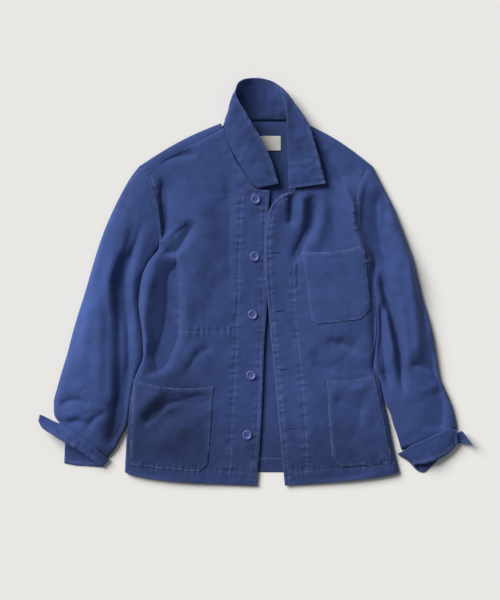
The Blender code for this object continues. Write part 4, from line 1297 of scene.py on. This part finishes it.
def light_and_camera():
    world = bpy.data.worlds.new("studio")
    bpy.context.scene.world = world
    world.use_nodes = True
    sky = world.node_tree.nodes["Background"]
    sky.inputs["Color"].default_value = SKY_COLOUR
    sky.inputs["Strength"].default_value = SKY_STRENGTH
    sun = bpy.data.lights.new("window", "SUN")
    sun.energy = SUN_STRENGTH
    sun.angle = math.radians(SUN_ANGLE)
    sun.color = SUN_COLOUR
    lamp = add_object("window", sun)
    lamp.rotation_mode = "QUATERNION"
    lamp.rotation_quaternion = Vector(SUN_DIRECTION).to_track_quat("-Z", "Y")
    camera = bpy.data.cameras.new("camera")
    camera.sensor_width = SENSOR
    camera.lens = SENSOR * CAMERA_HEIGHT / VIEW_HEIGHT
    eye = add_object("camera", camera)
    eye.location = (VIEW_CENTRE[0], VIEW_CENTRE[1], CAMERA_HEIGHT)
    bpy.context.scene.camera = eye


def lay_floor():
    made = bmesh.new()
    bmesh.ops.create_grid(made, x_segments=2, y_segments=2, size=FLOOR_HALF)
    mesh = mesh_of(made, "surface")
    mesh.materials.append(plain_material("pale_surface", FLOOR_PALE, 0.9, 3.0, 0.00001, 0.1, 0.01))
    thing = add_object("surface", mesh)
    thing.location.z = -FLOOR_DROP


def make_fronts(cloth, thread):
    """The two fronts: their pieces, their fine grids, and trees of their surfaces, by name."""
    pieces, grids, trees = {}, {}, {}
    right = front_grid(SIDE_RIGHT, ARM_RIGHT, EDGE_RIGHT, FOLDS_RIGHT, HEM_BOW_RIGHT)
    left = front_grid(SIDE_LEFT, ARM_LEFT, EDGE_LEFT, FOLDS_LEFT, HEM_BOW_LEFT)
    for name, grid, fine, creases, seams, seed, inward, flat in (
        ("front_right", right, FINE_RIGHT, CREASES_RIGHT, SEAMS_RIGHT, 11, 1, (0.32, 0.74)),
        ("front_left", left, FINE_LEFT, CREASES_LEFT, SEAMS_LEFT, 31, -1, (0.30, 0.74)),
    ):
        grids[name], wear, stitched = detailed_front(grid, fine, creases, seams, seed, inward)
        mesh = mesh_from(name + "_cloth", grids[name], wear)
        pieces[name] = cloth_piece(name, mesh, cloth, CLOTH)
        trees[name] = tree_of(mesh)
        for line in stitched:
            thread.on_surface(trees[name], line, CLOTH / 2)
    return pieces, grids, trees


def make_back(cloth, thread):
    """The back, wrinkled where it shows inside the neck, with its hem's stitching between the fronts."""
    made, keep, top = full_back()
    x, y = made[..., 0], made[..., 1]
    shows = smooth((y - 200) / 40) * smooth((x + 60) / 30) * smooth((95 - x) / 30)
    rise = np.maximum(wrinkles(x, y, 71), 0) * shows
    wear = 0.5 * bell(y - BACK_HEM_STITCH, 1.6) * grain(x, y, 73)
    made[: top + 1, :, 2] += rise[: top + 1]
    mesh = mesh_from("back_cloth", made, wear, keep=keep)
    piece = cloth_piece("back", mesh, cloth, CLOTH)
    thread.on_surface(tree_of(mesh), [(0, BACK_HEM_STITCH), (62, BACK_HEM_STITCH)], CLOTH / 2)


def make_sleeves(cloth):
    for name, arm, rings, folds, fine, creases, reach, seed in (
        (
            "sleeve_right", ARM_RIGHT, SLEEVE_RIGHT, SLEEVE_FOLDS_RIGHT, FINE_SLEEVE_RIGHT,
            CREASES_SLEEVE_RIGHT, UNDER_LAYER_REACH, 91,
        ),
        (
            "sleeve_left", ARM_LEFT, SLEEVE_LEFT, SLEEVE_FOLDS_LEFT, FINE_SLEEVE_LEFT,
            CREASES_SLEEVE_LEFT, 0, 131,
        ),
    ):
        made, wear = fine_sleeve(arm, rings, folds, fine, creases, reach, seed)
        mesh = mesh_from(name + "_cloth", made, wear, closed=True)
        piece = cloth_piece(name, mesh, cloth, CLOTH)


def make_strip(name, cloth, thread, inset, *shape):
    """The piece of a collar or cuff, with its stitching."""
    made, wear = fine_strip(*shape)
    piece = cloth_piece(name, mesh_from(name + "_cloth", made, wear), cloth, DOUBLE)
    strip_stitches(thread, made, inset)
    return piece


def make_collar_and_cuffs(cloth, thread):
    ends = ("seam", "free")
    for name, bands, seed in (("cuff_right", CUFF_RIGHT, 151), ("cuff_left", CUFF_LEFT, 171)):
        piece = make_strip(name, cloth, thread, 5.0, bands, ends, CUFF_STEPS, CUFF_ROWS, seed, CUFF_CRINKLES)
    shape = (COLLAR, ("base", "mid", "tip"), COLLAR_STEPS, COLLAR_ROWS, 191, COLLAR_CRINKLES, COLLAR_RAISED)
    piece = make_strip("collar", cloth, thread, 6.5, *shape)


def make_pockets(cloth, thread, grids, trees):
    for name, front, outline, sag, seed in (
        ("chest_pocket", "front_left", CHEST_POCKET, 7.0, 211),
        ("hip_pocket_right", "front_right", HIP_POCKET_RIGHT, 11.0, 231),
        ("hip_pocket_left", "front_left", HIP_POCKET_LEFT, 6.0, 251),
    ):
        piece, area = pocket_piece(name, grids[front], trees[front], outline, sag, seed, cloth, thread)


def make_label():
    finish = plain_material("label_tape", LABEL_WHITE, 0.85, 1800, 0.0001, 0.2)
    gx, gy = np.meshgrid(np.linspace(0, 1, 60), np.linspace(0, 1, 28))
    x, y = LABEL_SIZE[0] * gx, LABEL_SIZE[1] * gy
    z = CLOTH + LAID + 0.9 + 0.8 * np.sin(np.pi * gx) + 0.3 * lattice_noise(x, y, 12, 301)
    tape = np.stack([LABEL_CORNER[0] + x, LABEL_CORNER[1] + y, z], -1)
    piece = place_piece("label_tape", mesh_from("label_tape", tape), finish, ["label"], 0.5)


def main():
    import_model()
    bpy.context.scene.view_settings.view_transform = "Standard"
    cloth = cloth_material("twill", CLOTH_BLUE, CLOTH_WORN)
    thread = Thread()
    fronts, grids, trees = make_fronts(cloth, thread)
    make_back(cloth, thread)
    make_sleeves(cloth)
    make_collar_and_cuffs(cloth, thread)
    make_pockets(cloth, thread, grids, trees)
    make_label()
    master = button_master(plain_material("button", BUTTON_BLUE, 0.42, 900, 0.00003))
    for number, (x, y) in enumerate(BUTTONS, 1):
        place_button(number, master, trees["front_right"], x, y, thread)
    cut_slots(fronts["front_left"], trees["front_left"])
    for x, y in BUTTONHOLES:
        buttonhole(thread, trees["front_left"], x, y)
    thread_finish = plain_material("thread", THREAD_BLUE, 0.8, 2500, 0.0001)
    place_piece("stitching", thread.mesh("stitching"), thread_finish, [])

    lay_floor()
    light_and_camera()


main()
